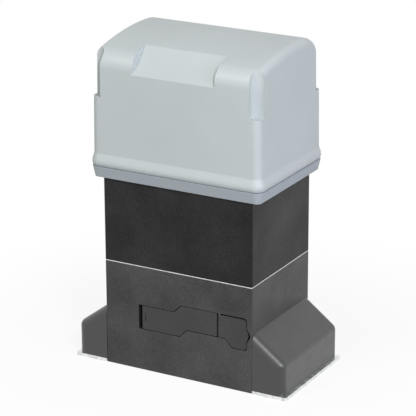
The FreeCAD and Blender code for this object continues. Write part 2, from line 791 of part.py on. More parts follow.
def lock_flap():
    front = FRONT_Y + LEVER_SINK
    small = 0.6
    soft = 1.8
    radii = [small, soft, small, FLAP_CORNER_R, soft, soft, soft, FLAP_CORNER_R, small]
    plate = front_prism(flap_points(), radii, front, front + FLAP_T)
    low = RECESS_HIGH + LEVER_GAP
    top = RECESS_HIGH_TOP - FLAP_TOP_GAP
    plate = plate.cut(box(DIVIDER_X, FLAP_PIN_X, front - 1, front + FLAP_T + 1, low - 1, top + 1))
    nose = upright(FLAP_NOSE_R, FLAP_PIN_X, FLAP_PIN_Y, low, top)
    rib_left = LEVER_PIN_X + CAM_POCKET_R
    rib_right = FLAP_RIGHT - FLAP_CORNER_R
    ribs = [box(rib_left, rib_right, front + FLAP_T - 0.5, front + FLAP_T + FLAP_RIB_T, z, z + FLAP_RIB_T)
            for z in (low + 1, top - 1 - FLAP_RIB_T)]
    return fuse([plate, nose] + ribs).cut(upright(FLAP_PIN_R + RUN, FLAP_PIN_X, FLAP_PIN_Y, low - 1, top + 1))


def flap_pin():
    return upright(FLAP_PIN_R, FLAP_PIN_X, FLAP_PIN_Y, FLAP_PIN_Z, FLAP_PIN_Z + FLAP_PIN_L)


def hinge_pins():
    return Part.makeCompound([lever_pin(), flap_pin()])


# Lock behind the flap

def lock_body():
    front = RECESS_FLOOR_Y - LOCK_FLANGE_T
    back = RECESS_FLOOR_Y + LOCK_LENGTH
    shell = fuse([along_y(LOCK_FLANGE_R, LOCK_X, LOCK_Z, front, RECESS_FLOOR_Y),
                  along_y(LOCK_R, LOCK_X, LOCK_Z, RECESS_FLOOR_Y, back)])
    return shell.cut(along_y(LOCK_PLUG_R + RUN, LOCK_X, LOCK_Z, front - 1, back + 1))


def lock_nut():
    seat = Vec(LOCK_X, DRY_FRONT, LOCK_Z)
    return tube(LOCK_NUT_R, LOCK_R + THREAD_FIT, seat, seat + ALONG_Y * LOCK_NUT_T)


def lock_plug():
    front = RECESS_FLOOR_Y - LOCK_FLANGE_T - 0.6
    back = RECESS_FLOOR_Y + LOCK_LENGTH + 0.4
    plug = along_y(LOCK_PLUG_R, LOCK_X, LOCK_Z, front, back)
    spigot = along_y(3.0, LOCK_X, LOCK_Z, back, back + LOCK_CAM_T + 1)
    keyway = box(LOCK_X - 0.7, LOCK_X + 0.7, front - 1, front + 12, LOCK_Z - 3.8, LOCK_Z + 3.8)
    return fuse([plug, spigot]).cut(keyway)


def lock_cam():
    y0 = RECESS_FLOOR_Y + LOCK_LENGTH + 0.4
    tongue_r = 4.5
    tip = LOCK_CAM_REACH - tongue_r
    tongue = fuse([along_y(tongue_r, LOCK_X, LOCK_Z, y0, y0 + LOCK_CAM_T),
                   along_y(tongue_r, LOCK_X, LOCK_Z + tip, y0, y0 + LOCK_CAM_T),
                   box(LOCK_X - tongue_r, LOCK_X + tongue_r, y0, y0 + LOCK_CAM_T, LOCK_Z, LOCK_Z + tip)])
    return tongue.cut(along_y(3.0 + FIT, LOCK_X, LOCK_Z, y0 - 1, y0 + LOCK_CAM_T + 1))


# Cast housings

def housing_bolt_places():
    return corners_of(BODY_X - HOUSING_BOLT_INSET, BODY_Y - HOUSING_BOLT_INSET)


def carrier_places():
    return [(CARRIER_LEFT, CARRIER_FRONT), (CARRIER_LEFT, CARRIER_BACK), (CARRIER_RIGHT, CARRIER_FRONT)]


def ears():
    """Feet of the lower housing; they run inside its wall, to be cut back with the hollow."""
    pieces = []
    inner = BODY_X - EAR_ROOT
    outer = BODY_X + EAR_REACH
    for x0, x1 in ((-outer, -inner), (inner, outer)):
        for y in (-STUD_Y, STUD_Y):
            pieces.append(rounded_block(x0, x1, y - EAR_W / 2, y + EAR_W / 2, PLATE_T, PLATE_T + EAR_T,
                                        EAR_CORNER_R))
    return pieces


def gearbox_housing():
    shell = rounded_block(-BODY_X, BODY_X, -BODY_Y, BODY_Y, PLATE_T, LOWER_TOP_Z, BODY_EDGE_R)
    lips = rounded_block(-BODY_X, BODY_X, -BODY_Y, BODY_Y, LIP_GAP, PLATE_T, BODY_EDGE_R)
    lips = lips.cut(box(-BODY_W, BODY_W, -BODY_Y + LIP_T, BODY_Y - LIP_T, LIP_GAP - 1, PLATE_T + 1))
    casting = fuse([shell, lips] + ears())
    top = LOWER_TOP_Z + 1
    casting = cut(casting, [
        box(-CHAMBER_X, OIL_WALL_X, CHAMBER_FRONT, CHAMBER_BACK, FLOOR_TOP_Z, top),
        box(DUCT_X0, CHAMBER_X, DRY_FRONT, DRY_BACK, LIP_GAP, top),
        box(-CHAMBER_X, OIL_WALL_X, CHAMBER_FRONT, CHAMBER_BACK, LIP_GAP, FLOOR_BOTTOM_Z),
    ])
    cam_low = OUTPUT_Z - CAM_POCKET_H / 2
    cam_top = OUTPUT_Z + CAM_POCKET_H / 2
    cam_back = CHAMBER_FRONT + CAM_WALL_T
    inside = [
        on_output(FRONT_BEARING[1] + BOSS_WALL, CHAMBER_FRONT - 1, FRONT_BEARING_Y + FRONT_BEARING[2]),
        on_output(REAR_BEARING[1] + BOSS_WALL, REAR_BEARING_Y, CHAMBER_BACK + 1),
        on_worm(LOW_BEARING[1] + BOSS_WALL, FLOOR_BOTTOM_Z, LOW_BEARING_Z + LOW_BEARING[2]),
        on_plunger(GUIDE_R, GUIDE_BACK_Y, CHAMBER_BACK + 1),
        box(FRONT_BEARING[1], OIL_WALL_X + 1, CHAMBER_FRONT - 1, cam_back, cam_low - 5, cam_top + 5),
        upright(CARRIER_PILLAR_R, CARRIER_RIGHT, CARRIER_FRONT, OUTPUT_Z + FRONT_BEARING[1], CARRIER_Z),
    ]
    inside += [upright(CARRIER_PILLAR_R, x, y, FLOOR_BOTTOM_Z, CARRIER_Z) for x, y in carrier_places()[:2]]
    inside += [upright(HOUSING_BOSS_R, x, y, FLOOR_TOP_Z, LOWER_TOP_Z) for x, y in housing_bolt_places()]
    casting = fuse([casting] + inside)
    points = recess_points()
    far = LOWER_TOP_Z + 1
    cuts = [
        front_prism(points, recess_radii(), FRONT_Y - 1, RECESS_FLOOR_Y),
        upright(CAM_POCKET_R, LEVER_PIN_X, LEVER_PIN_Y, cam_low, cam_top),
        upright(LEVER_PIN_R + FIT, LEVER_PIN_X, LEVER_PIN_Y, LIP_GAP - 1, OUTPUT_Z + 5 + LEVER_PIN_L / 2),
        upright(FLAP_PIN_R + FIT, FLAP_PIN_X, FLAP_PIN_Y, FLAP_PIN_Z, far),
        along_y(LOCK_R + FIT, LOCK_X, LOCK_Z, RECESS_FLOOR_Y - 1, DRY_FRONT + 1),
        on_output(FRONT_BEARING[1] + FIT, FRONT_BEARING_Y, FRONT_BEARING_Y + FRONT_BEARING[2] + 1),
        on_output(REAR_BEARING[1] + FIT, REAR_BEARING_Y, BODY_Y + 1),
        on_output(SHAFT_COLLAR_R + 3, REAR_BEARING_Y - 1, REAR_BEARING_Y),
        on_worm(LOW_BEARING[1] + FIT, LOW_BEARING_Z, LOW_BEARING_Z + LOW_BEARING[2] + 1),
        on_plunger(PLUNGER_R + RUN, LEVER_PIN_Y, cam_back + 1),
        on_plunger(PLUNGER_R + RUN, GUIDE_BACK_Y - 1, PLUNGER_BACK + CAM_LIFT + 2),
        on_plunger(PLUNGER_SEAL_R, cam_back - PLUNGER_SEAL_T, cam_back + 1),
    ]
    screw_end = CARRIER_Z + CARRIER_T - CARRIER_SCREW_L
    cuts += [upright(CARRIER_SCREW_R + THREAD_FIT, x, y, screw_end - 1, CARRIER_Z + 1)
             for x, y in carrier_places()]
    cuts += [upright(HOUSING_BOLT_R + THREAD_FIT, x, y, LOWER_TOP_Z - HOUSING_BOLT_DEPTH - 2, far)
             for x, y in housing_bolt_places()]
    cuts += [slot_block(x, y, PLATE_T - 1, PLATE_T + EAR_T + 1, EAR_SLOT_L, STUD_R + BOLT_FIT + 0.2)
             for x, y in corners_of(STUD_X, STUD_Y)]
    cuts += [along_y(PLUG_R + THREAD_FIT, PLUG_X, z, CHAMBER_BACK - 1, BODY_Y + 1)
             for z in (DRAIN_Z, FILLER_Z)]
    return cut(casting, cuts)


def housing_gasket():
    """Thin joint between the housings, which shows as a bright line all round."""
    x = BODY_X - GASKET_INSET
    y = BODY_Y - GASKET_INSET
    sheet = rounded_block(-x, x, -y, y, LOWER_TOP_Z, UPPER_BOTTOM_Z, BODY_EDGE_R)
    cuts = [box(-CHAMBER_X, OIL_WALL_X, CHAMBER_FRONT, CHAMBER_BACK, PARTING_Z - 1, PARTING_Z + 1),
            box(DUCT_X0, CHAMBER_X, DRY_FRONT, DRY_BACK, PARTING_Z - 1, PARTING_Z + 1)]
    cuts += [upright(HOUSING_BOLT_R + BOLT_FIT, bx, by, PARTING_Z - 1, PARTING_Z + 1)
             for bx, by in housing_bolt_places()]
    return cut(sheet, cuts)


def shield_screw_places():
    return [(WORM_X + dx, WORM_Y + dy) for dx, dy in corners_of(SHIELD_EAR_OFFSET, SHIELD_EAR_OFFSET)]


def motor_housing():
    shell = rounded_block(-BODY_X, BODY_X, -BODY_Y, BODY_Y, UPPER_BOTTOM_Z, HOUSING_TOP_Z, BODY_EDGE_R)
    inner_y = BODY_Y - BODY_WALL
    casting = cut(shell, [
        box(-CHAMBER_X, OIL_WALL_X, CHAMBER_FRONT, CHAMBER_BACK, UPPER_BOTTOM_Z - 1, DECK_BOTTOM_Z),
        box(DUCT_X0, CHAMBER_X, DRY_FRONT, DRY_BACK, UPPER_BOTTOM_Z - 1, DECK_BOTTOM_Z),
        box(DUCT_X0, CHAMBER_X, DUCT_FRONT, DRY_BACK, UPPER_BOTTOM_Z - 1, DECK_TOP_Z + 1),
        box(-CHAMBER_X, CHAMBER_X, -inner_y, inner_y, DECK_TOP_Z, HOUSING_TOP_Z + 1),
    ])
    seat_top = MOTOR_BEARING_Z + MID_BEARING[2] - 1
    inside = [
        on_worm(BARREL_R, DECK_BOTTOM_Z, HOUSING_TOP_Z),
        on_worm(MID_BEARING[1] + BOSS_WALL, DECK_BOTTOM_Z, seat_top),
    ]
    inside += [upright(HOUSING_BOSS_R, x, y, UPPER_BOTTOM_Z, HOUSING_TOP_Z) for x, y in housing_bolt_places()]
    inside += [upright(SHIELD_EAR_R - 0.5, x, y, DECK_TOP_Z, HOUSING_TOP_Z) for x, y in shield_screw_places()]
    casting = fuse([casting] + inside)
    bore = on_worm(STATOR_R + FIT, DECK_TOP_Z, HOUSING_TOP_Z + 1)
    boss = on_worm(MID_BEARING[1] + BOSS_WALL - 1, DECK_TOP_Z, seat_top)
    casting = fuse([casting.cut(bore), boss])
    cuts = [
        on_worm(MID_BEARING[1] + FIT, MOTOR_BEARING_Z, seat_top + 1),
        on_worm(MOTOR_SEAL_R + FIT, DECK_BOTTOM_Z - 1, MOTOR_BEARING_Z),
    ]
    cuts += [upright(HOUSING_BOLT_R + BOLT_FIT, x, y, UPPER_BOTTOM_Z - 1, HOUSING_TOP_Z + 1)
             for x, y in housing_bolt_places()]
    cuts += [upright(SHIELD_SCREW_R + THREAD_FIT, x, y, HOUSING_TOP_Z - SHIELD_SCREW_L, HOUSING_TOP_Z + 1)
             for x, y in shield_screw_places()]
    return cut(casting, cuts)


def housing_bolts():
    length = TRAY_DECK_Z - LOWER_TOP_Z + HOUSING_BOLT_DEPTH
    return Part.makeCompound([socket_screw(x, y, TRAY_DECK_Z, HOUSING_BOLT_R, 5.0, 6.0, length, 5.0)
                              for x, y in housing_bolt_places()])


def threaded_plug(z):
    """Oil plug in the rear wall: flange with a hexagon socket."""
    plug = fuse([along_y(PLUG_R, PLUG_X, z, CHAMBER_BACK + 0.5, BODY_Y),
                 along_y(PLUG_R + 2.5, PLUG_X, z, BODY_Y, BODY_Y + 3)])
    return plug.cut(hexagon(6.0, Vec(PLUG_X, BODY_Y - 3, z), ALONG_Y, 8))


# Worm drive

def gear_arc(r_start, a_start, r_mid, a_mid, r_end, a_end, z):
    def at(r, a):
        return Vec(r * math.cos(a), r * math.sin(a), z)
    return Part.Arc(at(r_start, a_start), at(r_mid, a_mid), at(r_end, a_end)).toShape()


def involute_half_angle(radius, pitch_r, pressure, tooth_half):
    """Half of a tooth's angle at a radius, for an involute tooth."""
    def inv(angle):
        return math.tan(angle) - angle
    base_r = pitch_r * math.cos(pressure)
    here = math.acos(min(1.0, base_r / radius)) if radius > base_r else 0.0
    return tooth_half + inv(pressure) - inv(here)


def gear_wire(teeth, module, pressure_deg, backlash, z, turn):
    """Outline of a spur section: involute flanks as arcs through three points of the curve."""
    pressure = math.radians(pressure_deg)
    pitch_r = module * teeth / 2
    root_r = pitch_r - 1.2 * module
    tip_r = pitch_r + module
    base_r = pitch_r * math.cos(pressure)
    tooth_half = math.pi / (2 * teeth) - backlash / (2 * pitch_r)
    low_r = max(root_r, base_r)
    mid_r = (low_r + tip_r) / 2
    halves = [involute_half_angle(r, pitch_r, pressure, tooth_half) for r in (low_r, mid_r, tip_r)]
    edges = []
    step = 2 * math.pi / teeth
    for tooth in range(teeth):
        a = turn + tooth * step
        left = [a - h for h in halves]
        right = [a + h for h in reversed(halves)]
        after = a + step - halves[0]
        if low_r > root_r:
            edges.append(radial_line(root_r, low_r, left[0], z))
        edges.append(gear_arc(low_r, left[0], mid_r, left[1], tip_r, left[2], z))
        edges.append(gear_arc(tip_r, left[2], tip_r, a, tip_r, right[0], z))
        edges.append(gear_arc(tip_r, right[0], mid_r, right[1], low_r, right[2], z))
        if low_r > root_r:
            edges.append(radial_line(low_r, root_r, right[2], z))
        edges.append(gear_arc(root_r, right[2], root_r, (right[2] + after) / 2, root_r, after, z))
    return Part.Wire(edges)


def radial_line(r_start, r_end, angle, z):
    way = Vec(math.cos(angle), math.sin(angle), 0)
    lift = Vec(0, 0, z)
    return Part.LineSegment(way * r_start + lift, way * r_end + lift).toShape()


def onto_output(shape, y):
    """Turns a piece made about Z from z = 0 so that it lies about the output axis from y."""
    turned = shape.copy()
    turned.Placement = FreeCAD.Placement(output_point(y), FreeCAD.Rotation(Vec(-1, 0, 0), 90))
    return turned


def dog_teeth(y_start, height, first_angle):
    """Ring of square dog teeth about the output axis, along +Y from y_start."""
    half = math.radians(DOG_TOOTH_ANGLE / 2)
    ring = tube(DOG_TOOTH_R1, DOG_TOOTH_R0, output_point(y_start), output_point(y_start + height))
    reach = DOG_TOOTH_R1 * 2
    teeth = []
    for i in range(DOG_TEETH):
        a = math.radians(first_angle + 360.0 / DOG_TEETH * i)
        centre = output_point(y_start)
        corners = [centre]
        corners += [centre + Vec(math.cos(b), 0, math.sin(b)) * reach for b in (a - half, a + half)]
        wedge = Part.Face(Part.makePolygon(corners + corners[:1])).extrude(Vec(0, height, 0))
        teeth.append(ring.common(wedge))
    return teeth


def worm_wheel():
    """Helical rim on a webbed hub, with dog teeth on the hub's rear face."""
    half = WHEEL_RIM_W / 2
    # A gap faces the worm at mid width; the helix follows the worm's lead angle
    twist = half * math.tan(LEAD_ANGLE) / WHEEL_PITCH_R
    middle_turn = math.pi + math.pi / WHEEL_TEETH
    wires = [gear_wire(WHEEL_TEETH, MODULE, PRESSURE_ANGLE, MESH_BACKLASH / 2, z, middle_turn + side * twist)
             for z, side in ((0.0, -1), (half, 0), (WHEEL_RIM_W, 1))]
    rim = Part.makeLoft(wires, True, True)
    inner = WHEEL_ROOT_R - WHEEL_RIM_T
    web = (WHEEL_RIM_W - WHEEL_WEB_T) / 2
    for z0, z1 in ((-1, web), (WHEEL_RIM_W - web, WHEEL_RIM_W + 1)):
        groove = upright(inner, 0, 0, z0, z1).cut(upright(WHEEL_HUB_R, 0, 0, z0, z1))
        rim = rim.cut(groove) if inner > WHEEL_HUB_R + 1 else rim
    rim = onto_output(rim, WHEEL_Y - half)
    hub = on_output(WHEEL_HUB_R, WHEEL_HUB_FRONT, WHEEL_HUB_BACK)
    wheel = fuse([rim, hub] + dog_teeth(WHEEL_HUB_BACK, DOG_TOOTH_H, 0.0))
    bore = on_output(REAR_BEARING[0] + RUN, WHEEL_HUB_FRONT - 1, WHEEL_HUB_BACK + DOG_TOOTH_H + 1)
    return wheel.cut(bore)


def worm_thread():
    """One-start right-hand thread whose crest faces the wheel at the wheel's own height."""
    z_mid = OUTPUT_Z
    turns = round(WORM_THREAD_L / WORM_LEAD)
    length = turns * WORM_LEAD
    tip_r = WORM_PITCH_R + MODULE
    root_r = WORM_PITCH_R - 1.2 * MODULE - 0.3
    slope = math.tan(math.radians(PRESSURE_ANGLE))
    half_pitch = WORM_LEAD / 4 - MESH_BACKLASH / 4
    half_tip = half_pitch - MODULE * slope
    half_root = half_pitch + (WORM_PITCH_R - root_r) * slope
    start_z = z_mid - length / 2
    helix = Part.makeHelix(WORM_LEAD, length, WORM_PITCH_R)
    helix.Placement = FreeCAD.Placement(worm_point(start_z), FreeCAD.Rotation())
    start = worm_point(start_z)
    outline = [start + Vec(r, 0, h) for r, h in ((root_r, -half_root), (tip_r, -half_tip),
                                                 (tip_r, half_tip), (root_r, half_root))]
    profile = Part.makePolygon(outline + outline[:1])
    sweep = Part.Wire(helix.Edges).makePipeShell([profile], True, True)
    return Part.Solid(sweep) if sweep.ShapeType != "Solid" else sweep


def worm_shaft():
    low_r, _, low_w = LOW_BEARING
    mid_r, _, mid_w = MID_BEARING
    root_r = WORM_PITCH_R - 1.2 * MODULE
    neck_r = root_r + 0.8
    half = WORM_THREAD_L / 2 + 4
    profile = [(0, LOW_BEARING_Z + 0.5), (low_r, LOW_BEARING_Z + 0.5), (low_r, LOW_BEARING_Z + low_w),
               (neck_r, LOW_BEARING_Z + low_w), (neck_r, OUTPUT_Z - half), (root_r, OUTPUT_Z - half + 1),
               (root_r, OUTPUT_Z + half - 1), (neck_r + 1, OUTPUT_Z + half), (neck_r + 1, MID_BEARING_Z),
               (mid_r, MID_BEARING_Z), (mid_r, WORM_TOP_Z), (0, WORM_TOP_Z)]
    return fuse([revolve_z(profile, WORM_X, WORM_Y), worm_thread()])


def bearing_carrier():
    """Three-eared plate that holds the worm's upper bearing above the wheel."""
    top = CARRIER_Z + CARRIER_T
    wall = MID_BEARING[1] + 4
    pieces = [on_worm(CARRIER_R, CARRIER_Z, top), on_worm(wall, MID_BEARING_Z, top)]
    for x, y in carrier_places():
        way = Vec(x - WORM_X, y - WORM_Y, 0)
        side = Vec(-way.y, way.x, 0)
        side.normalize()
        side = side * (CARRIER_EAR_R - 1)
        centre = worm_point(CARRIER_Z)
        corners = [centre + side, centre - side, centre + way - side, centre + way + side]
        arm = Part.Face(Part.makePolygon(corners + corners[:1])).extrude(Vec(0, 0, CARRIER_T))
        pieces += [arm, upright(CARRIER_EAR_R - 1, x, y, CARRIER_Z, top)]
    holes = [upright(CARRIER_SCREW_R + BOLT_FIT, x, y, CARRIER_Z - 1, top + 1) for x, y in carrier_places()]
    holes.append(on_worm(MID_BEARING[1] + FIT, MID_BEARING_Z - 1, MID_BEARING_Z + MID_BEARING[2]))
    holes.append(on_worm(MID_BEARING[0] + 4, CARRIER_Z, top + 1))
    return cut(fuse(pieces), holes)


def carrier_screws():
    seat = CARRIER_Z + CARRIER_T
    return Part.makeCompound([socket_screw(x, y, seat, CARRIER_SCREW_R, 5.0, 6.0, CARRIER_SCREW_L, 5.0)
                              for x, y in carrier_places()])


# Output shaft, pinion and dog clutch

def spline_bars(radius, width, y0, y1):
    """Bars about the output axis that make a six-way spline."""
    bars = []
    for i in range(3):
        bar = box(-radius, radius, y0, y1, -width / 2, width / 2)
        bar.rotate(Vec(0, 0, 0), ALONG_Y, 60.0 * i)
        bar.translate(output_point(0))
        bars.append(bar)
    return bars


def output_shaft():
    front_r, _, front_w = FRONT_BEARING
    seat_r = REAR_BEARING[0]
    step_y = FRONT_BEARING_Y + front_w
    end = PINION_Y + PINION_W - 0.5
    profile = [(0, FRONT_BEARING_Y + 0.5), (front_r, FRONT_BEARING_Y + 0.5), (front_r, step_y),
               (seat_r, step_y), (seat_r, REAR_BEARING_Y - SHAFT_COLLAR_T),
               (SHAFT_COLLAR_R, REAR_BEARING_Y - SHAFT_COLLAR_T), (SHAFT_COLLAR_R, REAR_BEARING_Y),
               (seat_r, REAR_BEARING_Y), (seat_r, PINION_Y), (PINION_SEAT_R, PINION_Y), (PINION_SEAT_R, end),
               (0, end)]
    shaft = fuse([revolve_y(profile, 0, OUTPUT_Z)]
                 + spline_bars(SPLINE_R, SPLINE_W, WHEEL_HUB_BACK + DOG_GAP, SPLINE_END))
    key_y = PINION_Y + (PINION_W - KEY_L) / 2
    key_seat = box(-KEY_W / 2, KEY_W / 2, key_y, key_y + KEY_L, OUTPUT_Z + PINION_SEAT_R - KEY_SINK,
                   OUTPUT_Z + PINION_SEAT_R + 1)
    tapped = on_output(PINION_SCREW_R + THREAD_FIT, end - PINION_SCREW_L, end + 1)
    return cut(shaft, [key_seat, tapped])


def thrust_washer():
    y0 = FRONT_BEARING_Y + FRONT_BEARING[2]
    return tube(FRONT_BEARING[1] - 4, REAR_BEARING[0] + RUN, output_point(y0 + 0.05),
                output_point(WHEEL_HUB_FRONT - 0.05))


def shift_dog():
    front = DOG_FRONT
    back = front + DOG_BODY_L
    bore = REAR_BEARING[0] + RUN
    groove_end = DOG_GROOVE_Y + DOG_GROOVE_W
    profile = [(bore, front), (DOG_R, front), (DOG_R, DOG_GROOVE_Y), (DOG_GROOVE_R, DOG_GROOVE_Y),
               (DOG_GROOVE_R, groove_end), (DOG_R, groove_end), (DOG_R, back), (bore, back)]
    half_step = 180.0 / DOG_TEETH
    sleeve = fuse([revolve_y(profile, 0, OUTPUT_Z)] + dog_teeth(front - DOG_TOOTH_H, DOG_TOOTH_H, half_step))
    return cut(sleeve, spline_bars(SPLINE_R + RUN, SPLINE_W + 2 * RUN, front - 1, back + 1))


def shift_fork():
    """Half-ring fork in the dog's groove, on the rod that the lever's cam pushes."""
    y0 = DOG_GROOVE_Y + FORK_SIDE_GAP
    y1 = DOG_GROOVE_Y + DOG_GROOVE_W - FORK_SIDE_GAP
    inner = DOG_GROOVE_R + 0.4
    outer = inner + FORK_RIM
    ring = tube(outer, inner, output_point(y0), output_point(y1))
    half_ring = ring.common(box(0, outer + 1, y0 - 1, y1 + 1, OUTPUT_Z - outer - 1, OUTPUT_Z + outer + 1))
    web = box(inner + 2, LEVER_PIN_X, y0, y1, OUTPUT_Z - 6, OUTPUT_Z + 6)
    middle = (y0 + y1) / 2
    boss = on_plunger(FORK_BOSS_R, middle - FORK_BOSS_L / 2, middle + FORK_BOSS_L / 2)
    fork = fuse([half_ring, web, boss])
    return fork.cut(on_plunger(PLUNGER_R + FIT, middle - FORK_BOSS_L, middle + FORK_BOSS_L))


def release_plunger():
    return on_plunger(PLUNGER_R, PLUNGER_FRONT, PLUNGER_BACK)


def plunger_seal():
    back = CHAMBER_FRONT + CAM_WALL_T
    front = back - PLUNGER_SEAL_T
    return tube(PLUNGER_SEAL_R - FIT, PLUNGER_R + RUN, plunger_point(front), plunger_point(back))


def release_spring():
    """Spring of square wire between the fork's boss and the rear guide."""
    middle = DOG_GROOVE_Y + DOG_GROOVE_W / 2
    y0 = middle + FORK_BOSS_L / 2 + 0.1
    y1 = GUIDE_BACK_Y - 0.1
    height = y1 - y0 - SPRING_WIRE
    half = SPRING_WIRE / 2
    helix = Part.makeHelix(height / SPRING_COILS, height, SPRING_R)
    square = ((-half, -half), (half, -half), (half, half), (-half, half))
    points = [Vec(SPRING_R + a, 0, b) for a, b in square]
    profile = Part.makePolygon(points + points[:1])
    sweep = Part.Wire(helix.Edges).makePipeShell([profile], True, True)
    coil = Part.Solid(sweep) if sweep.ShapeType != "Solid" else sweep
    coil.Placement = FreeCAD.Placement(plunger_point(y0 + half), FreeCAD.Rotation(Vec(-1, 0, 0), 90))
    return coil


def pinion():
    wire = gear_wire(PINION_TEETH, PINION_MODULE, PRESSURE_ANGLE, 0.2, 0.0, math.pi / 2)
    blank = Part.Face(wire).extrude(Vec(0, 0, PINION_W))
    root_r = PINION_PITCH_R - 1.2 * PINION_MODULE
    dish = upright(root_r - 3, 0, 0, PINION_W - PINION_DISH, PINION_W + 1)
    dish = dish.cut(upright(PINION_HUB_R, 0, 0, PINION_W - PINION_DISH - 1, PINION_W + 2))
    gear = onto_output(blank.cut(dish), PINION_Y)
    y0 = PINION_Y - 1
    y1 = PINION_Y + PINION_W + 1
    half = KEY_W / 2 + FIT
    slot_top = OUTPUT_Z + PINION_SEAT_R + KEY_RISE + KEY_TOP_GAP
    return cut(gear, [on_output(PINION_SEAT_R + FIT, y0, y1), box(-half, half, y0, y1, OUTPUT_Z, slot_top)])


def pinion_key():
    key_y = PINION_Y + (PINION_W - KEY_L) / 2
    low = OUTPUT_Z + PINION_SEAT_R - KEY_SINK
    return box(-KEY_W / 2, KEY_W / 2, key_y, key_y + KEY_L, low, low + KEY_SINK + KEY_RISE)


def washer_under_head():
    y0 = PINION_Y + PINION_W
    hole = PINION_SCREW_R + BOLT_FIT
    return tube(PINION_WASHER_R, hole, output_point(y0), output_point(y0 + PINION_WASHER_T))


def pinion_screw():
    """Screw and washer that hold the pinion on the shaft."""
    seat = PINION_Y + PINION_W + PINION_WASHER_T
    head = hexagon(NUT_FLATS, output_point(seat), ALONG_Y, PINION_SCREW_HEAD)
    shank = on_output(PINION_SCREW_R, seat - PINION_SCREW_L + 1, seat + 1)
    return Part.makeCompound([fuse([head, shank]), washer_under_head()])


# Motor clutch, set by the screw in the top of the motor shaft

def disc_height(layer):
    """Height of the clutch stack under a layer, counted from the hub's flange."""
    base = CLUTCH_FLANGE_Z + CLUTCH_FLANGE_T + CLUTCH_GAP
    return base + layer * (CLUTCH_DISC_T + CLUTCH_GAP)


def flat_ring(inner, outer, z0, thickness):
    return tube(outer, inner, worm_point(z0), worm_point(z0 + thickness))


def clutch_hub():
    top = disc_height(4)
    shaft_r = MID_BEARING[0]
    flange_top = CLUTCH_FLANGE_Z + CLUTCH_FLANGE_T
    bore = shaft_r + FIT
    profile = [(bore, CLUTCH_FLANGE_Z), (CLUTCH_DISC_R, CLUTCH_FLANGE_Z), (CLUTCH_DISC_R, flange_top),
               (CLUTCH_HUB_R, flange_top), (CLUTCH_HUB_R, top), (bore, top)]
    return revolve_z(profile, WORM_X, WORM_Y)


def friction_discs():
    return Part.makeCompound([flat_ring(CLUTCH_HUB_R + RUN, CLUTCH_DISC_R, disc_height(layer), CLUTCH_DISC_T)
                              for layer in (1, 3)])


def clutch_plates():
    outer = DRUM_R - DRUM_WALL - FIT
    return Part.makeCompound([flat_ring(CLUTCH_HUB_R + 1.2, outer, disc_height(layer), CLUTCH_DISC_T)
                              for layer in (0, 2, 4)])


def clutch_spring():
    """Conical disc spring that the adjusting rod presses on the top plate."""
    low = disc_height(5)
    top = low + DISC_SPRING_H
    outer = DISC_SPRING_R1
    inner = DISC_SPRING_R0
    profile = [(outer, low), (outer, low + DISC_SPRING_T), (inner, top), (inner, top - DISC_SPRING_T)]
    return revolve_z(profile, WORM_X, WORM_Y)


def clutch_drum():
    inner = DRUM_R - DRUM_WALL
    low = DRUM_TOP_Z - DRUM_SKIRT
    roof = DRUM_TOP_Z - DRUM_TOP_T
    bore = MID_BEARING[0] + FIT
    profile = [(bore, roof), (inner, roof), (inner, low), (DRUM_R, low), (DRUM_R, DRUM_TOP_Z),
               (bore + 5, DRUM_TOP_Z), (bore + 5, DRUM_TOP_Z + 1.5), (bore, DRUM_TOP_Z + 1.5)]
    return revolve_z(profile, WORM_X, WORM_Y)


# Motor

def motor_shaft():
    low_r = MID_BEARING[0]
    top_r = TOP_BEARING[0]
    step_z = MOTOR_BEARING_Z + MID_BEARING[2]
    bore = ROD_R + RUN * 4
    screw_z = MOTOR_SHAFT_TOP - ADJUST_SCREW_L + ADJUST_SCREW_RISE
    screw_bore = ADJUST_SCREW_R + THREAD_FIT
    roof = DRUM_TOP_Z - DRUM_TOP_T
    profile = [(bore, roof), (low_r, roof), (low_r, step_z), (MOTOR_SHAFT_R, step_z),
               (MOTOR_SHAFT_R, TOP_BEARING_Z), (top_r, TOP_BEARING_Z), (top_r, MOTOR_SHAFT_TOP),
               (screw_bore, MOTOR_SHAFT_TOP), (screw_bore, screw_z), (bore, screw_z)]
    return revolve_z(profile, WORM_X, WORM_Y)


def adjusting_rod():
    foot_z = disc_height(5) + DISC_SPRING_H
    roof = DRUM_TOP_Z - DRUM_TOP_T
    screw_z = MOTOR_SHAFT_TOP - ADJUST_SCREW_L + ADJUST_SCREW_RISE
    foot_top = roof - ROD_FOOT_GAP
    profile = [(0, foot_z), (ROD_FOOT_R, foot_z), (ROD_FOOT_R, foot_top), (ROD_R, foot_top),
               (ROD_R, screw_z), (0, screw_z)]
    return revolve_z(profile, WORM_X, WORM_Y)


def adjusting_screw():
    low = MOTOR_SHAFT_TOP - ADJUST_SCREW_L + ADJUST_SCREW_RISE
    top = MOTOR_SHAFT_TOP + ADJUST_SCREW_RISE
    screw = on_worm(ADJUST_SCREW_R, low, top)
    return screw.cut(hexagon(ADJUST_SCREW_R, worm_point(top - 6), ALONG_Z, 8))


def rotor_core():
    core = flat_ring(MOTOR_SHAFT_R + FIT, STATOR_BORE_R - AIR_GAP, STATOR_Z, STATOR_H)
    rings = [flat_ring(MOTOR_SHAFT_R + 4, STATOR_BORE_R - 2.5, z, ROTOR_RING_H)
             for z in (STATOR_Z - ROTOR_RING_H, STATOR_TOP)]
    return fuse([core] + rings)


def stator_core():
    core = flat_ring(STATOR_BORE_R, STATOR_R, STATOR_Z, STATOR_H)
    return cut(core, stator_slots())


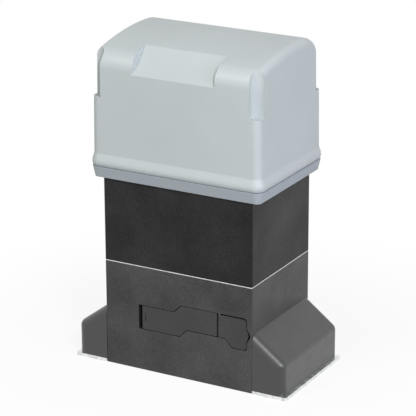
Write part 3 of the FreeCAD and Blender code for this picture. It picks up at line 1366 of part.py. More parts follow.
def stator_slots():
    """Slots of the stator, open to the bore."""
    count = 12
    cuts = []
    for i in range(count):
        slot = box(STATOR_BORE_R - 1, WINDING_R1 - 6, -1.6, 1.6, STATOR_Z - 1, STATOR_TOP + 1)
        slot.rotate(Vec(0, 0, 0), ALONG_Z, 360.0 / count * i)
        slot.translate(worm_point(0))
        cuts.append(slot)
    return cuts


def stator_windings():
    coils = []
    for z in (STATOR_Z - WINDING_H, STATOR_TOP):
        ring = flat_ring(WINDING_R0, WINDING_R1, z, WINDING_H)
        far_z = z if z < STATOR_Z else z + WINDING_H
        coils.append(ring.makeFillet(WINDING_ROUND, edges_at_height(ring, far_z)))
    return Part.makeCompound(coils)


def motor_end_shield():
    """Cup on the motor's barrel that carries the top bearing."""
    low = HOUSING_TOP_Z
    inner = BARREL_R - BARREL_WALL + 0.2
    flange_top = low + SHIELD_FLANGE_T
    plate_low = SHIELD_TOP_Z
    plate_top = SHIELD_TOP_Z + SHIELD_PLATE_T
    boss_r = TOP_BEARING[1] + 3.5
    seat_top = TOP_BEARING_Z + TOP_BEARING[2]
    seat_r = TOP_BEARING[1] + FIT
    neck_r = TOP_BEARING[0] + 2
    profile = [(inner, low), (BARREL_R, low), (BARREL_R, plate_top - 4), (BARREL_R - 4, plate_top),
               (boss_r, plate_top), (boss_r, SHIELD_CAP_Z), (neck_r, SHIELD_CAP_Z), (neck_r, seat_top),
               (seat_r, seat_top), (seat_r, TOP_BEARING_Z), (boss_r, TOP_BEARING_Z), (boss_r, plate_low),
               (inner, plate_low)]
    cup = revolve_z(profile, WORM_X, WORM_Y)
    ear_list = [upright(SHIELD_EAR_R, x, y, low, flange_top) for x, y in shield_screw_places()]
    room = on_worm(inner, low - 1, plate_low - 0.01)
    cup = fuse([cup] + [ear.cut(room) for ear in ear_list])
    holes = [upright(SHIELD_SCREW_R + BOLT_FIT, x, y, low - 1, flange_top + 1)
             for x, y in shield_screw_places()]
    return cut(cup, holes)


def end_shield_screws():
    seat = HOUSING_TOP_Z + SHIELD_FLANGE_T
    form = (SHIELD_SCREW_R, SHIELD_SCREW_HEAD_R, SHIELD_SCREW_HEAD_H, SHIELD_SCREW_L, 3.0)
    return Part.makeCompound([socket_screw(x, y, seat, *form) for x, y in shield_screw_places()])


# Tray, seal and top cover

def cover_corners():
    """Places of the cover's four screws."""
    return corners_of(COVER_X - SCREW_INSET, COVER_Y - SCREW_INSET)


def pocket_places():
    return corners_of(COVER_X - POCKET_INSET, COVER_Y - POCKET_INSET)


def cover_tray():
    """Dish between the upper housing and the cover, tapering down to a lip round the housing."""
    outside = Part.makeLoft([
        rounded_wire(COVER_X - TRAY_BOTTOM_IN, COVER_Y - TRAY_BOTTOM_IN, TRAY_Z, TRAY_BOTTOM_R),
        rounded_wire(COVER_X + TRAY_RIM_OUT, COVER_Y + TRAY_RIM_OUT, TRAY_RIM_Z, TRAY_TOP_R)], True, True)
    x = COVER_X + TRAY_RIM_OUT - TRAY_WALL
    y = COVER_Y + TRAY_RIM_OUT - TRAY_WALL
    inside = rounded_block(-x, x, -y, y, TRAY_DECK_Z, SEAM_Z + 1, TRAY_TOP_R - TRAY_WALL / 2)
    fit_x = BODY_X + TRAY_FIT
    fit_y = BODY_Y + TRAY_FIT
    lip_room = box(-fit_x, fit_x, -fit_y, fit_y, TRAY_Z - 1, HOUSING_TOP_Z)
    tray = cut(outside, [inside, lip_room])
    bosses = [upright(COLUMN_R, bx, by, HOUSING_TOP_Z, TRAY_RIM_Z - 1) for bx, by in cover_corners()]
    tray = fuse([tray] + bosses)
    cuts = [on_worm(BARREL_R + 1, HOUSING_TOP_Z - 1, SEAM_Z),
            rounded_block(DUCT_X0, DUCT_X1, DUCT_FRONT, DUCT_BACK, HOUSING_TOP_Z - 1, SEAM_Z, 4)]
    cuts += [upright(SHIELD_EAR_R + 0.5, bx, by, HOUSING_TOP_Z - 1, SEAM_Z)
             for bx, by in shield_screw_places()]
    cuts += [upright(HOUSING_BOLT_R + BOLT_FIT, bx, by, HOUSING_TOP_Z - 1, SEAM_Z)
             for bx, by in housing_bolt_places()]
    cuts += [upright(COVER_SCREW_R + THREAD_FIT, bx, by, TRAY_DECK_Z - 1, SEAM_Z)
             for bx, by in cover_corners()]
    cuts.append(seal_ring(0.0))
    return cut(tray, cuts)


def seal_ring(rise):
    """Ring that fills the groove in the tray's rim and rises by rise above the rim."""
    top = TRAY_RIM_Z + rise
    low = TRAY_RIM_Z - SEAL_DEPTH
    outer_x = COVER_X + TRAY_RIM_OUT - SEAL_INSET
    outer_y = COVER_Y + TRAY_RIM_OUT - SEAL_INSET
    ring = rounded_block(-outer_x, outer_x, -outer_y, outer_y, low, top, TRAY_TOP_R - SEAL_INSET)
    x = outer_x - SEAL_W
    y = outer_y - SEAL_W
    return ring.cut(rounded_block(-x, x, -y, y, low - 1, top + 1, TRAY_TOP_R - SEAL_INSET - SEAL_W))


def cover_seal():
    return seal_ring(2 * SEAM_GAP)


def cover_form(inset):
    """The cover's arched block, drawn in by inset on every side but its open bottom."""
    half_w = COVER_X - inset
    half_d = COVER_Y - inset
    arch_r = COVER_ARCH_R - inset
    top = COVER_TOP_Z - inset

    def roof_z(y):
        return top - arch_r + math.sqrt(arch_r ** 2 - (y - COVER_APEX_Y) ** 2)

    x = -half_w - COVER_SIDE_R
    low_front = Vec(x, -half_d, COVER_BOTTOM_Z)
    high_front = Vec(x, -half_d, roof_z(-half_d))
    high_back = Vec(x, half_d, roof_z(half_d))
    low_back = Vec(x, half_d, COVER_BOTTOM_Z)
    edges = [Part.LineSegment(low_front, high_front).toShape(),
             Part.Arc(high_front, Vec(x, COVER_APEX_Y, top), high_back).toShape(),
             Part.LineSegment(high_back, low_back).toShape(), Part.LineSegment(low_back, low_front).toShape()]
    block = Part.Face(Part.Wire(edges)).extrude(Vec(-2 * x, 0, 0))
    for y, radius in ((-half_d, COVER_FRONT_R), (half_d, COVER_BACK_R)):
        block = block.makeFillet(radius - inset, [
            edge for edge in edges_at_height(block, roof_z(y)) if abs(edge.BoundBox.YMin - y) < TINY])
    block = block.common(leaning_ends(half_w))

    def on_end(edge):
        far = min(abs(edge.BoundBox.XMin), abs(edge.BoundBox.XMax)) > half_w - COVER_SIDE_R
        return far and edge.BoundBox.ZMax > COVER_BOTTOM_Z + 1

    return block.makeFillet(COVER_SIDE_R - inset, edges_where(block, on_end))


def leaning_ends(half_w):
    """Block whose two ends stand at half_w at the top of the skirt and lean in above it."""
    lean = math.tan(math.radians(COVER_DRAFT))
    low_w = half_w + (SKIRT_TOP_Z - COVER_BOTTOM_Z) * lean
    high_w = half_w - (COVER_TOP_Z - SKIRT_TOP_Z) * lean
    y = -COVER_Y - 1
    corners = [Vec(-low_w, y, COVER_BOTTOM_Z), Vec(low_w, y, COVER_BOTTOM_Z), Vec(high_w, y, COVER_TOP_Z),
               Vec(-high_w, y, COVER_TOP_Z)]
    return Part.Face(Part.makePolygon(corners + corners[:1])).extrude(Vec(0, 2 * (COVER_Y + 1), 0))


def cover_skirt():
    """Soft roll round the cover's foot."""
    span = SKIRT_TOP_Z - COVER_BOTTOM_Z
    sections = ((0.0, 0.35), (0.14, 0.85), (0.32, 1.0), (0.52, 0.75), (0.76, 0.22), (1.0, -0.1))
    wires = []
    for share, roll in sections:
        grow = SKIRT_ROLL * roll
        z = COVER_BOTTOM_Z + share * span
        wires.append(rounded_wire(COVER_X + grow, COVER_Y + grow, z, COVER_SIDE_R + grow))
    return Part.makeLoft(wires, True, False)


def badge_cutter(inset):
    """Wedge over the shallow flat place in the cover's upper front edge."""
    drop = BADGE_HIGH_Z - BADGE_LOW_Z
    run = BADGE_HIGH_Y + COVER_Y
    length = math.hypot(drop, run)
    way_y = run / length
    way_z = drop / length
    y0 = -COVER_Y + way_z * inset
    z0 = BADGE_LOW_Z - way_y * inset
    reach = length * 2
    points = [Vec(0, y0 - way_y * reach, z0 - way_z * reach), Vec(0, y0 + way_y * reach, z0 + way_z * reach),
              Vec(0, y0 - way_z * reach + way_y * reach, z0 + way_y * reach + way_z * reach),
              Vec(0, y0 - way_z * reach - way_y * reach, z0 + way_y * reach - way_z * reach)]
    face = Part.Face(Part.makePolygon(points + points[:1]))
    x0 = BADGE_LEFT - inset
    face.translate(Vec(x0, 0, 0))
    return face.extrude(Vec(BADGE_RIGHT - BADGE_LEFT + 2 * inset, 0, 0))


def top_cover():
    outside = fuse([cover_form(0.0), cover_skirt()])
    over = COVER_TOP_Z + 1
    pockets = [upright(POCKET_R, x, y, POCKET_FLOOR_Z, over) for x, y in pocket_places()]
    outside = cut(outside, pockets + [badge_cutter(0.0)])
    inside = cover_form(COVER_WALL)
    floor_z = POCKET_FLOOR_Z - POCKET_WALL
    kept = [upright(POCKET_R + POCKET_WALL, x, y, floor_z, over) for x, y in pocket_places()]
    column_top = POCKET_FLOOR_Z - 1
    kept += [upright(COLUMN_R, x, y, COVER_BOTTOM_Z - 1, column_top) for x, y in cover_corners()]
    kept.append(badge_cutter(COVER_WALL))
    shell = outside.cut(cut(inside, kept))
    head_z = POCKET_FLOOR_Z - COVER_SCREW_SINK - COVER_SCREW_HEAD_H
    holes = []
    for x, y in cover_corners():
        holes.append(upright(COVER_SCREW_HEAD_R + 0.2, x, y, head_z, POCKET_FLOOR_Z + 1))
        holes.append(upright(COVER_SCREW_R + 0.2, x, y, COVER_BOTTOM_Z - 1, head_z + 1))
    return cut(shell, holes)


def cover_screws():
    head_z = POCKET_FLOOR_Z - COVER_SCREW_SINK - COVER_SCREW_HEAD_H
    length = head_z - TRAY_RIM_Z + COVER_SCREW_BITE - 1
    return Part.makeCompound([
        socket_screw(x, y, head_z, COVER_SCREW_R, COVER_SCREW_HEAD_R, COVER_SCREW_HEAD_H, length, 2.6)
        for x, y in cover_corners()])


# Side covers over the feet

def foot_form(inset):
    """Sloping cover over one foot, on the right, drawn in by inset."""
    slope_x = FOOT_REACH - BODY_X
    slope_z = FOOT_TOP_Z - FOOT_SHOULDER_Z
    length = math.hypot(slope_x, slope_z)
    drop = inset * length / slope_x
    outer = FOOT_REACH - inset
    shoulder = FOOT_SHOULDER_Z - drop + inset * slope_z / slope_x
    half = FOOT_HALF_D - inset
    low = PLATE_T
    points = [Vec(BODY_X, -half, low), Vec(outer, -half, low), Vec(outer, -half, shoulder),
              Vec(BODY_X, -half, FOOT_TOP_Z - drop)]
    block = Part.Face(Part.makePolygon(points + points[:1])).extrude(Vec(0, 2 * half, 0))

    def rounded(edge):
        outer_side = edge.BoundBox.XMax > BODY_X + 1 and edge.BoundBox.ZMax > low + 1
        return outer_side and edge.BoundBox.ZMin > low - 1

    return block.makeFillet(FOOT_EDGE_R - inset, edges_where(block, rounded))


def side_cover(side):
    shell = foot_form(0.0).cut(foot_form(FOOT_WALL))
    hook_z = FOOT_TOP_Z * 0.55
    hooks = [box(BODY_X, FOOT_REACH - FOOT_WALL, y - FOOT_HOOK_T / 2, y + FOOT_HOOK_T / 2, hook_z, FOOT_TOP_Z)
             for y in (-FOOT_HALF_D * 0.5, FOOT_HALF_D * 0.5)]
    hooks = [hook.common(foot_form(FOOT_WALL / 2)) for hook in hooks]
    cover = fuse([shell] + hooks)
    return cover if side > 0 else cover.mirror(Vec(0, 0, 0), ALONG_X)


# Electronics under the cover

def board_carrier():
    """Upright plate on two legs, with standoffs for the board."""
    half = BOARD_W / 2 + CARRIER_MARGIN
    y1 = BOARD_Y + BOARD_T + STANDOFF + CARRIER_PLATE_T
    y0 = y1 - CARRIER_PLATE_T
    x0 = BOARD_X - half
    x1 = BOARD_X + half
    z0 = BOARD_Z - CARRIER_MARGIN
    z1 = BOARD_Z + BOARD_H + CARRIER_MARGIN
    pieces = [box(x0, x1, y0, y1, z0, z1)]
    pieces += [box(x0, x1, y0, y1 + 3, z, z + 3) for z in (z0, z1 - 3)]
    pieces += [box(x, x + LEG_W, y1 - LEG_DEPTH / 2, y1 + LEG_DEPTH / 2, TRAY_DECK_Z, z0 + 10)
               for x in (x0 - 3, x1 - LEG_W)]
    pieces += [along_y(STANDOFF_R, x, z, y0 - STANDOFF, y0 + 1) for x, z in board_hole_places()]
    return cut(fuse(pieces), [along_y(1.2, x, z, y0 - STANDOFF - 1, y0 + 1) for x, z in board_hole_places()])


def board_hole_places():
    inset = 5.0
    return [(BOARD_X + sx * (BOARD_W / 2 - inset), z) for sx in (-1, 1)
            for z in (BOARD_Z + inset, BOARD_Z + BOARD_H - inset)]


def control_board():
    half = BOARD_W / 2
    back = BOARD_Y + BOARD_T
    board = box(BOARD_X - half, BOARD_X + half, BOARD_Y, back, BOARD_Z, BOARD_Z + BOARD_H)
    return cut(board, [along_y(1.6, x, z, BOARD_Y - 1, back + 1) for x, z in board_hole_places()])


def board_screws():
    screws = []
    for x, z in board_hole_places():
        head = along_y(2.6, x, z, BOARD_Y - 1.8, BOARD_Y)
        screws.append(fuse([head, along_y(1.15, x, z, BOARD_Y, BOARD_Y + 5)]))
    return Part.makeCompound(screws)


def terminal_blocks():
    blocks = []
    depth = 11.0
    for i in range(TERMINAL_COUNT):
        x = BOARD_X + (i - (TERMINAL_COUNT - 1) / 2) * TERMINAL_PITCH
        z = BOARD_Z + 4
        block = box(x - TERMINAL_W / 2, x + TERMINAL_W / 2, BOARD_Y - depth, BOARD_Y, z, z + 10)
        wells = []
        for k in range(5):
            well_x = x + (k - 2) * TERMINAL_W / 5
            wells.append(along_y(1.6, well_x, z + 6, BOARD_Y - depth - 1, BOARD_Y - depth + 2))
            wells.append(box(well_x - 1.5, well_x + 1.5, BOARD_Y - depth + 3, BOARD_Y - 3, z - 1, z + 3))
        blocks.append(cut(block, wells))
    return Part.makeCompound(blocks)


def relays():
    height = 20.0
    return Part.makeCompound([
        rounded_block(x - 10, x + 10, BOARD_Y - 15, BOARD_Y, BOARD_Z + 34, BOARD_Z + 34 + height, 0.8)
        for x in (BOARD_X + 60 - i * RELAY_PITCH for i in range(RELAY_COUNT))])


def board_fuse():
    x = BOARD_X - 62
    z = BOARD_Z + 40
    holder = box(x - 13, x + 13, BOARD_Y - 6, BOARD_Y, z - 4, z + 4)
    glass = rod(2.5, Vec(x - 10, BOARD_Y - 6.5, z), Vec(x + 10, BOARD_Y - 6.5, z))
    return fuse([holder, glass])


def run_capacitor():
    low = TRAY_DECK_Z + CLAMP_T
    can = upright(CAPACITOR_R, CAPACITOR_X, CAPACITOR_Y, low, low + CAPACITOR_H)
    top_edges = edges_where(can, lambda e: abs(e.BoundBox.ZMin - low - CAPACITOR_H) < 0.01)
    can = can.makeFillet(2.0, top_edges)
    tabs = [box(CAPACITOR_X + dx - 3, CAPACITOR_X + dx + 3, CAPACITOR_Y - 0.4, CAPACITOR_Y + 0.4,
                low + CAPACITOR_H, low + CAPACITOR_H + 7) for dx in (-7, 7)]
    return fuse([can] + tabs)


def capacitor_clamp():
    low = TRAY_DECK_Z
    outer = CAPACITOR_R + FIT + CLAMP_T
    cup = upright(outer, CAPACITOR_X, CAPACITOR_Y, low, low + CLAMP_H)
    reach = outer + CLAMP_FOOT
    feet = box(CAPACITOR_X - reach, CAPACITOR_X + reach, CAPACITOR_Y - CLAMP_FOOT, CAPACITOR_Y + CLAMP_FOOT,
               low, low + CLAMP_T)
    cup = fuse([cup, feet])
    return cup.cut(upright(CAPACITOR_R + FIT, CAPACITOR_X, CAPACITOR_Y, low + CLAMP_T, low + CLAMP_H + 1))


def transformer_core():
    low = TRAY_DECK_Z + TRANSFORMER_FOOT_H
    x0 = TRANSFORMER_X - CORE_W / 2
    x1 = TRANSFORMER_X + CORE_W / 2
    y0 = TRANSFORMER_Y - CORE_D / 2
    y1 = TRANSFORMER_Y + CORE_D / 2
    core = box(x0, x1, y0, y1, low, low + CORE_H)
    window = CORE_W / 6
    leg = CORE_W / 6
    windows = [box(x0 + leg, x0 + leg + window, y0 - 1, y1 + 1, low + leg, low + CORE_H - leg),
               box(x1 - leg - window, x1 - leg, y0 - 1, y1 + 1, low + leg, low + CORE_H - leg)]
    feet = [box(x0 - 0.01, x1 + 0.01, y, y + 5, low - TRANSFORMER_FOOT_H, low) for y in (y0, y1 - 5)]
    return fuse([cut(core, windows)] + feet)


def transformer_coil():
    low = TRAY_DECK_Z + TRANSFORMER_FOOT_H
    leg = CORE_W / 6
    gap = 0.2
    half_x = CORE_W / 2 - leg - gap
    core_half = CORE_W / 6 + gap
    half_y = COIL_D / 2
    z0 = low + leg + gap
    z1 = low + CORE_H - leg - gap
    coil = rounded_block(TRANSFORMER_X - half_x, TRANSFORMER_X + half_x, TRANSFORMER_Y - half_y,
                         TRANSFORMER_Y + half_y, z0, z1, COIL_ROUND)
    depth = CORE_D / 2 + gap
    return coil.cut(box(TRANSFORMER_X - core_half, TRANSFORMER_X + core_half, TRANSFORMER_Y - depth,
                        TRANSFORMER_Y + depth, z0 - 1, z1 + 1))


def duct_grommet():
    """Rubber edging round the cable hole in the tray."""
    z0 = HOUSING_TOP_Z
    z1 = TRAY_DECK_Z + GROMMET_T
    edge = rounded_block(DUCT_X0 + FIT, DUCT_X1 - FIT, DUCT_FRONT + FIT, DUCT_BACK - FIT, z0, z1, 4 - FIT)
    top = rounded_block(DUCT_X0 - 2, DUCT_X1 + 2, DUCT_FRONT - 2, DUCT_BACK + 2, TRAY_DECK_Z, z1, 5)
    hole = rounded_block(DUCT_X0 + 1.5, DUCT_X1 - 1.5, DUCT_FRONT + 1.5, DUCT_BACK - 1.5, z0 - 1, z1 + 1, 3)
    return fuse([edge, top]).cut(hole)


def limit_sensor():
    """Sensor on the rear wall above the pinion, which reads the stops on the rack."""
    half = SENSOR_W / 2
    block = rounded_block(-half, half, BODY_Y, BODY_Y + SENSOR_D, SENSOR_Z, SENSOR_Z + SENSOR_H, 2.5)
    back = box(-half, half, BODY_Y, BODY_Y + 4, SENSOR_Z, SENSOR_Z + SENSOR_H)
    return fuse([block, back])


def stud_fasteners():
    return Part.makeCompound([stud_washers(), stud_nuts()])


def oil_plugs():
    return Part.makeCompound([threaded_plug(DRAIN_Z), threaded_plug(FILLER_Z)])


def worm_bearings():
    return Part.makeCompound([ring_bearing(LOW_BEARING, worm_point(LOW_BEARING_Z), ALONG_Z),
                              ring_bearing(MID_BEARING, worm_point(MID_BEARING_Z), ALONG_Z)])


def output_bearings():
    return Part.makeCompound([ring_bearing(FRONT_BEARING, output_point(FRONT_BEARING_Y), ALONG_Y),
                              ring_bearing(REAR_BEARING, output_point(REAR_BEARING_Y), ALONG_Y)])


def motor_bearings():
    return Part.makeCompound([ring_bearing(MID_BEARING, worm_point(MOTOR_BEARING_Z), ALONG_Z),
                              ring_bearing(TOP_BEARING, worm_point(TOP_BEARING_Z), ALONG_Z)])


def shaft_seals():
    return Part.makeCompound([
        lip_seal(REAR_BEARING[0] + RUN, REAR_BEARING[1], OUTPUT_SEAL_T, output_point(SEAL_Y), ALONG_Y),
        lip_seal(MID_BEARING[0] + RUN, MOTOR_SEAL_R, MOTOR_SEAL_T, worm_point(DECK_BOTTOM_Z + 1), ALONG_Z),
        plunger_seal()])


def inner_screws():
    return Part.makeCompound([carrier_screws(), end_shield_screws(), board_screws()])


NODES = {
    "foundation_plate": foundation_plate,
    "plate_studs": plate_studs,
    "stud_fasteners": stud_fasteners,
    "gearbox_housing": gearbox_housing,
    "housing_gasket": housing_gasket,
    "motor_housing": motor_housing,
    "housing_bolts": housing_bolts,
    "oil_plugs": oil_plugs,
    "release_lever": release_lever,
    "lock_flap": lock_flap,
    "hinge_pins": hinge_pins,
    "lock_body": lock_body,
    "lock_nut": lock_nut,
    "lock_plug": lock_plug,
    "lock_cam": lock_cam,
    "release_plunger": release_plunger,
    "shift_fork": shift_fork,
    "release_spring": release_spring,
    "shift_dog": shift_dog,
    "worm_wheel": worm_wheel,
    "worm_shaft": worm_shaft,
    "worm_bearings": worm_bearings,
    "bearing_carrier": bearing_carrier,
    "output_shaft": output_shaft,
    "output_bearings": output_bearings,
    "thrust_washer": thrust_washer,
    "shaft_seals": shaft_seals,
    "pinion": pinion,
    "pinion_key": pinion_key,
    "pinion_screw": pinion_screw,
    "clutch_hub": clutch_hub,
    "friction_discs": friction_discs,
    "clutch_plates": clutch_plates,
    "clutch_spring": clutch_spring,
    "clutch_drum": clutch_drum,
    "motor_shaft": motor_shaft,
    "adjusting_rod": adjusting_rod,
    "adjusting_screw": adjusting_screw,
    "rotor_core": rotor_core,
    "stator_core": stator_core,
    "stator_windings": stator_windings,
    "motor_bearings": motor_bearings,
    "motor_end_shield": motor_end_shield,
    "inner_screws": inner_screws,
    "cover_tray": cover_tray,
    "duct_grommet": duct_grommet,
    "board_carrier": board_carrier,
    "control_board": control_board,
    "terminal_blocks": terminal_blocks,
    "board_relays": lambda: Part.makeCompound([relays(), board_fuse()]),
    "run_capacitor": run_capacitor,
    "capacitor_clamp": capacitor_clamp,
    "transformer_core": transformer_core,
    "transformer_coil": transformer_coil,
    "limit_sensor": limit_sensor,
    "cover_seal": cover_seal,
    "top_cover": top_cover,
    "cover_screws": cover_screws,
    "side_cover_right": lambda: side_cover(1),
    "side_cover_left": lambda: side_cover(-1),
}


def main():
    os.makedirs("parts", exist_ok=True)
    for name, make in NODES.items():
        make().exportStep("parts/" + name + ".step")


main()
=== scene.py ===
import json
import math

import bpy
from mathutils import Matrix, Vector

# The dressed scene of the sliding gate motor, in metres, in the frame of the CAD model.
# The front faces -Y, the pinion is at the back, and z = 0 is the underside of the foundation plate.
# Every piece of the motor is a node of the CAD model, and gets its material here.

# Camera of the photograph, solved from the straight edges of the body, plate and cover
CAMERA_AZIMUTH = math.radians(29.404)
CAMERA_ELEVATION = math.radians(19.271)
CAMERA_ROLL = math.radians(-0.243)
CAMERA_DISTANCE = 2.42265
CAMERA_TARGET = Vector((0.00068, 0.00031, 0.18368))
CAMERA_CLIP_END = 60.0
PICTURE_SIDE = 416.0
FOCAL_PIXELS = 2129.07
SENSOR_WIDTH = 36.0

# Height of the joint between the two cast housings, and how sharply the painted shade on the casting above it
# starts there
PARTING_Z = 0.127
PARTING_BLUR = 0.0004

# Materials: the band that most of a noise lies in, and the finish that several of them share
NOISE_LOW = 0.3
NOISE_HIGH = 0.7
SKIN_ROUGHNESS = 0.36       # the smoother skin over a glossy moulding
SOFT_EDGE_SAMPLES = 6
MOULDED_EDGE = 0.0006       # radius over which the light turns at a moulded edge
COATED_EDGE = 0.0005        # and at the edge of a coated casting

# Stretch of the noise that draws a tool's lines on steel
TURNED_LINES = (40.0, 40.0, 5200.0)     # level ones, as turned about an upright axis
CUT_LINES = (4000.0, 40.0, 4000.0)      # ones along Y, as a gear's teeth are cut

# Ground
FLOOR_SIZE = 14.0
FLOOR_COLOUR = (0.93, 0.93, 0.93, 1)
FLOOR_CLOUD = 0.99          # the darker tone of the ground's slow clouds
FLOOR_BOUNCE = (0.30, 0.30, 0.30, 1)    # what the ground throws back on the motor
FLOOR_CLEAR_R = 0.16        # the ground shows the shadow inside this radius
FLOOR_WHITE_R = 0.50        # and is seen as plain white from this one outwards
FLOOR_GLOW = 0.88           # share of plain white in the ground beside the motor

# Light from all round
WORLD_COLOUR = (1, 1, 0.96, 1)
WORLD_STRENGTH = 0.20
WHITE = (1, 1, 1, 1)


# Camera

def make_camera():
    back = Vector((math.sin(CAMERA_AZIMUTH) * math.cos(CAMERA_ELEVATION),
                   -math.cos(CAMERA_AZIMUTH) * math.cos(CAMERA_ELEVATION),
                   math.sin(CAMERA_ELEVATION)))
    level = Vector((math.cos(CAMERA_AZIMUTH), math.sin(CAMERA_AZIMUTH), 0))
    upward = back.cross(level)
    right = level * math.cos(CAMERA_ROLL) + upward * math.sin(CAMERA_ROLL)
    above = upward * math.cos(CAMERA_ROLL) - level * math.sin(CAMERA_ROLL)
    place = CAMERA_TARGET + back * CAMERA_DISTANCE
    data = bpy.data.cameras.new("photo_camera")
    data.sensor_fit = "HORIZONTAL"
    data.sensor_width = SENSOR_WIDTH
    data.lens = SENSOR_WIDTH * FOCAL_PIXELS / PICTURE_SIDE
    data.clip_end = CAMERA_CLIP_END
    camera = bpy.data.objects.new("photo_camera", data)
    bpy.context.scene.collection.objects.link(camera)
    turn = Matrix((right, above, back)).transposed().to_4x4()
    camera.matrix_world = Matrix.Translation(place) @ turn
    bpy.context.scene.camera = camera


# Node blocks that the materials, the ground and the world share

def calculate(tree, operation, first, second):
    """Result of one operation on two sockets."""
    node = tree.nodes.new("ShaderNodeMath")
    node.operation = operation
    tree.links.new(first, node.inputs[0])
    tree.links.new(second, node.inputs[1])
    return node.outputs[0]


def seen_share(tree):
    """1 for what the camera sees, straight or by way of metal and glass, and 0 for light on other pieces."""
    path = tree.nodes.new("ShaderNodeLightPath")
    plain = calculate(tree, "MAXIMUM", path.outputs["Is Camera Ray"], path.outputs["Is Glossy Ray"])
    return calculate(tree, "MAXIMUM", plain, path.outputs["Is Transmission Ray"])


def shade(colour, factor):
    return (colour[0] * factor, colour[1] * factor, colour[2] * factor, 1)


class Surface:
    """A Principled material in object coordinates, with short calls for the blocks it is built from."""

    def __init__(self, name, roughness=0.5, metallic=0.0, specular=0.5):
        self.name = name
        self.material = bpy.data.materials.new(name)
        self.material.use_nodes = True
        self.tree = self.material.node_tree
        self.nodes = self.tree.nodes
        self.shader = self.nodes["Principled BSDF"]
        self.shader.inputs["Roughness"].default_value = roughness
        self.shader.inputs["Metallic"].default_value = metallic
        self.shader.inputs["Specular IOR Level"].default_value = specular
        coordinates = self.nodes.new("ShaderNodeTexCoord")
        self.place = coordinates.outputs["Object"]

    def link(self, source, target):
        self.tree.links.new(source, target)

    def noise(self, scale, detail=3.0, roughness=0.55, stretch=None):
        """Noise whose scale is in cycles per metre, with an optional stretch per axis."""
        node = self.nodes.new("ShaderNodeTexNoise")
        node.inputs["Scale"].default_value = scale
        node.inputs["Detail"].default_value = detail
        node.inputs["Roughness"].default_value = roughness
        source = self.place
        if stretch:
            mapping = self.nodes.new("ShaderNodeMapping")
            mapping.inputs["Scale"].default_value = stretch
            self.link(source, mapping.inputs["Vector"])
            source = mapping.outputs["Vector"]
        self.link(source, node.inputs["Vector"])
        return node.outputs["Fac"]

    def spread(self, value, low, high, to_low, to_high, curve="LINEAR"):
        """Maps a value from one range to another and clamps it."""
        node = self.nodes.new("ShaderNodeMapRange")
        node.interpolation_type = curve
        node.inputs["From Min"].default_value = low
        node.inputs["From Max"].default_value = high
        node.inputs["To Min"].default_value = to_low
        node.inputs["To Max"].default_value = to_high
        self.link(value, node.inputs["Value"])
        return node.outputs["Result"]

    def between(self, noise, low, high):
        """A number that follows a noise from low to high."""
        return self.spread(noise, NOISE_LOW, NOISE_HIGH, low, high)

    def mix(self, amount, first, second):
        """Mixes two colours, each of which is a plain one or a socket."""
        node = self.nodes.new("ShaderNodeMix")
        node.data_type = "RGBA"
        for socket, value in ((node.inputs[6], first), (node.inputs[7], second)):
            if isinstance(value, tuple):
                socket.default_value = value
            else:
                self.link(value, socket)
        self.link(amount, node.inputs[0])
        return node.outputs[2]

    def tones(self, noise, colour, dark, light):
        """A colour that follows a noise from dark to light times its own tone."""
        return self.mix(self.between(noise, 0.0, 1.0), shade(colour, dark), shade(colour, light))

    def scaled(self, colour, factor):
        """A colour's socket times a plain factor."""
        node = self.nodes.new("ShaderNodeVectorMath")
        node.operation = "SCALE"
        node.inputs["Scale"].default_value = factor
        self.link(colour, node.inputs[0])
        return node.outputs["Vector"]

    def soft_edges(self, radius):
        """Normal that turns smoothly over sharp edges, as on any moulded or coated piece."""
        node = self.nodes.new("ShaderNodeBevel")
        node.samples = SOFT_EDGE_SAMPLES
        node.inputs["Radius"].default_value = radius
        return node.outputs["Normal"]

    def bump(self, height, distance, base=None):
        node = self.nodes.new("ShaderNodeBump")
        node.inputs["Distance"].default_value = distance
        self.link(height, node.inputs["Height"])
        if base:
            self.link(base, node.inputs["Normal"])
        return node.outputs["Normal"]

    def finish(self, colour, roughness, normal):
        """Joins the blocks to the shader, and gives the material with its name."""
        for name, source in (("Base Color", colour), ("Roughness", roughness), ("Normal", normal)):
            self.link(source, self.shader.inputs[name])
        return self.name, self.material


# Materials

def moulded_plastic(name, colour, roughness, grain=2600.0, depth=0.00003, contrast=0.05, specular=0.5,
                    gloss=0.0):
    """Injection moulded plastic with a fine spark-eroded grain and slow changes of tone.

    gloss is the share of a smoother skin over the grain.
    """
    surface = Surface(name, roughness=roughness, specular=specular)
    surface.shader.inputs["Coat Weight"].default_value = gloss
    surface.shader.inputs["Coat Roughness"].default_value = SKIN_ROUGHNESS
    slow = surface.noise(9.0)
    fine = surface.noise(grain, detail=2.0, roughness=0.6)
    tone = surface.tones(slow, colour, 1 - contrast, 1 + contrast)
    speck = surface.mix(surface.spread(fine, 0.35, 0.65, 0.0, 0.5), tone, shade(colour, 1 - 2 * contrast))
    rough = surface.between(surface.noise(60.0, detail=4.0), roughness - 0.05, roughness + 0.06)
    return surface.finish(speck, rough, surface.bump(fine, depth, base=surface.soft_edges(MOULDED_EDGE)))


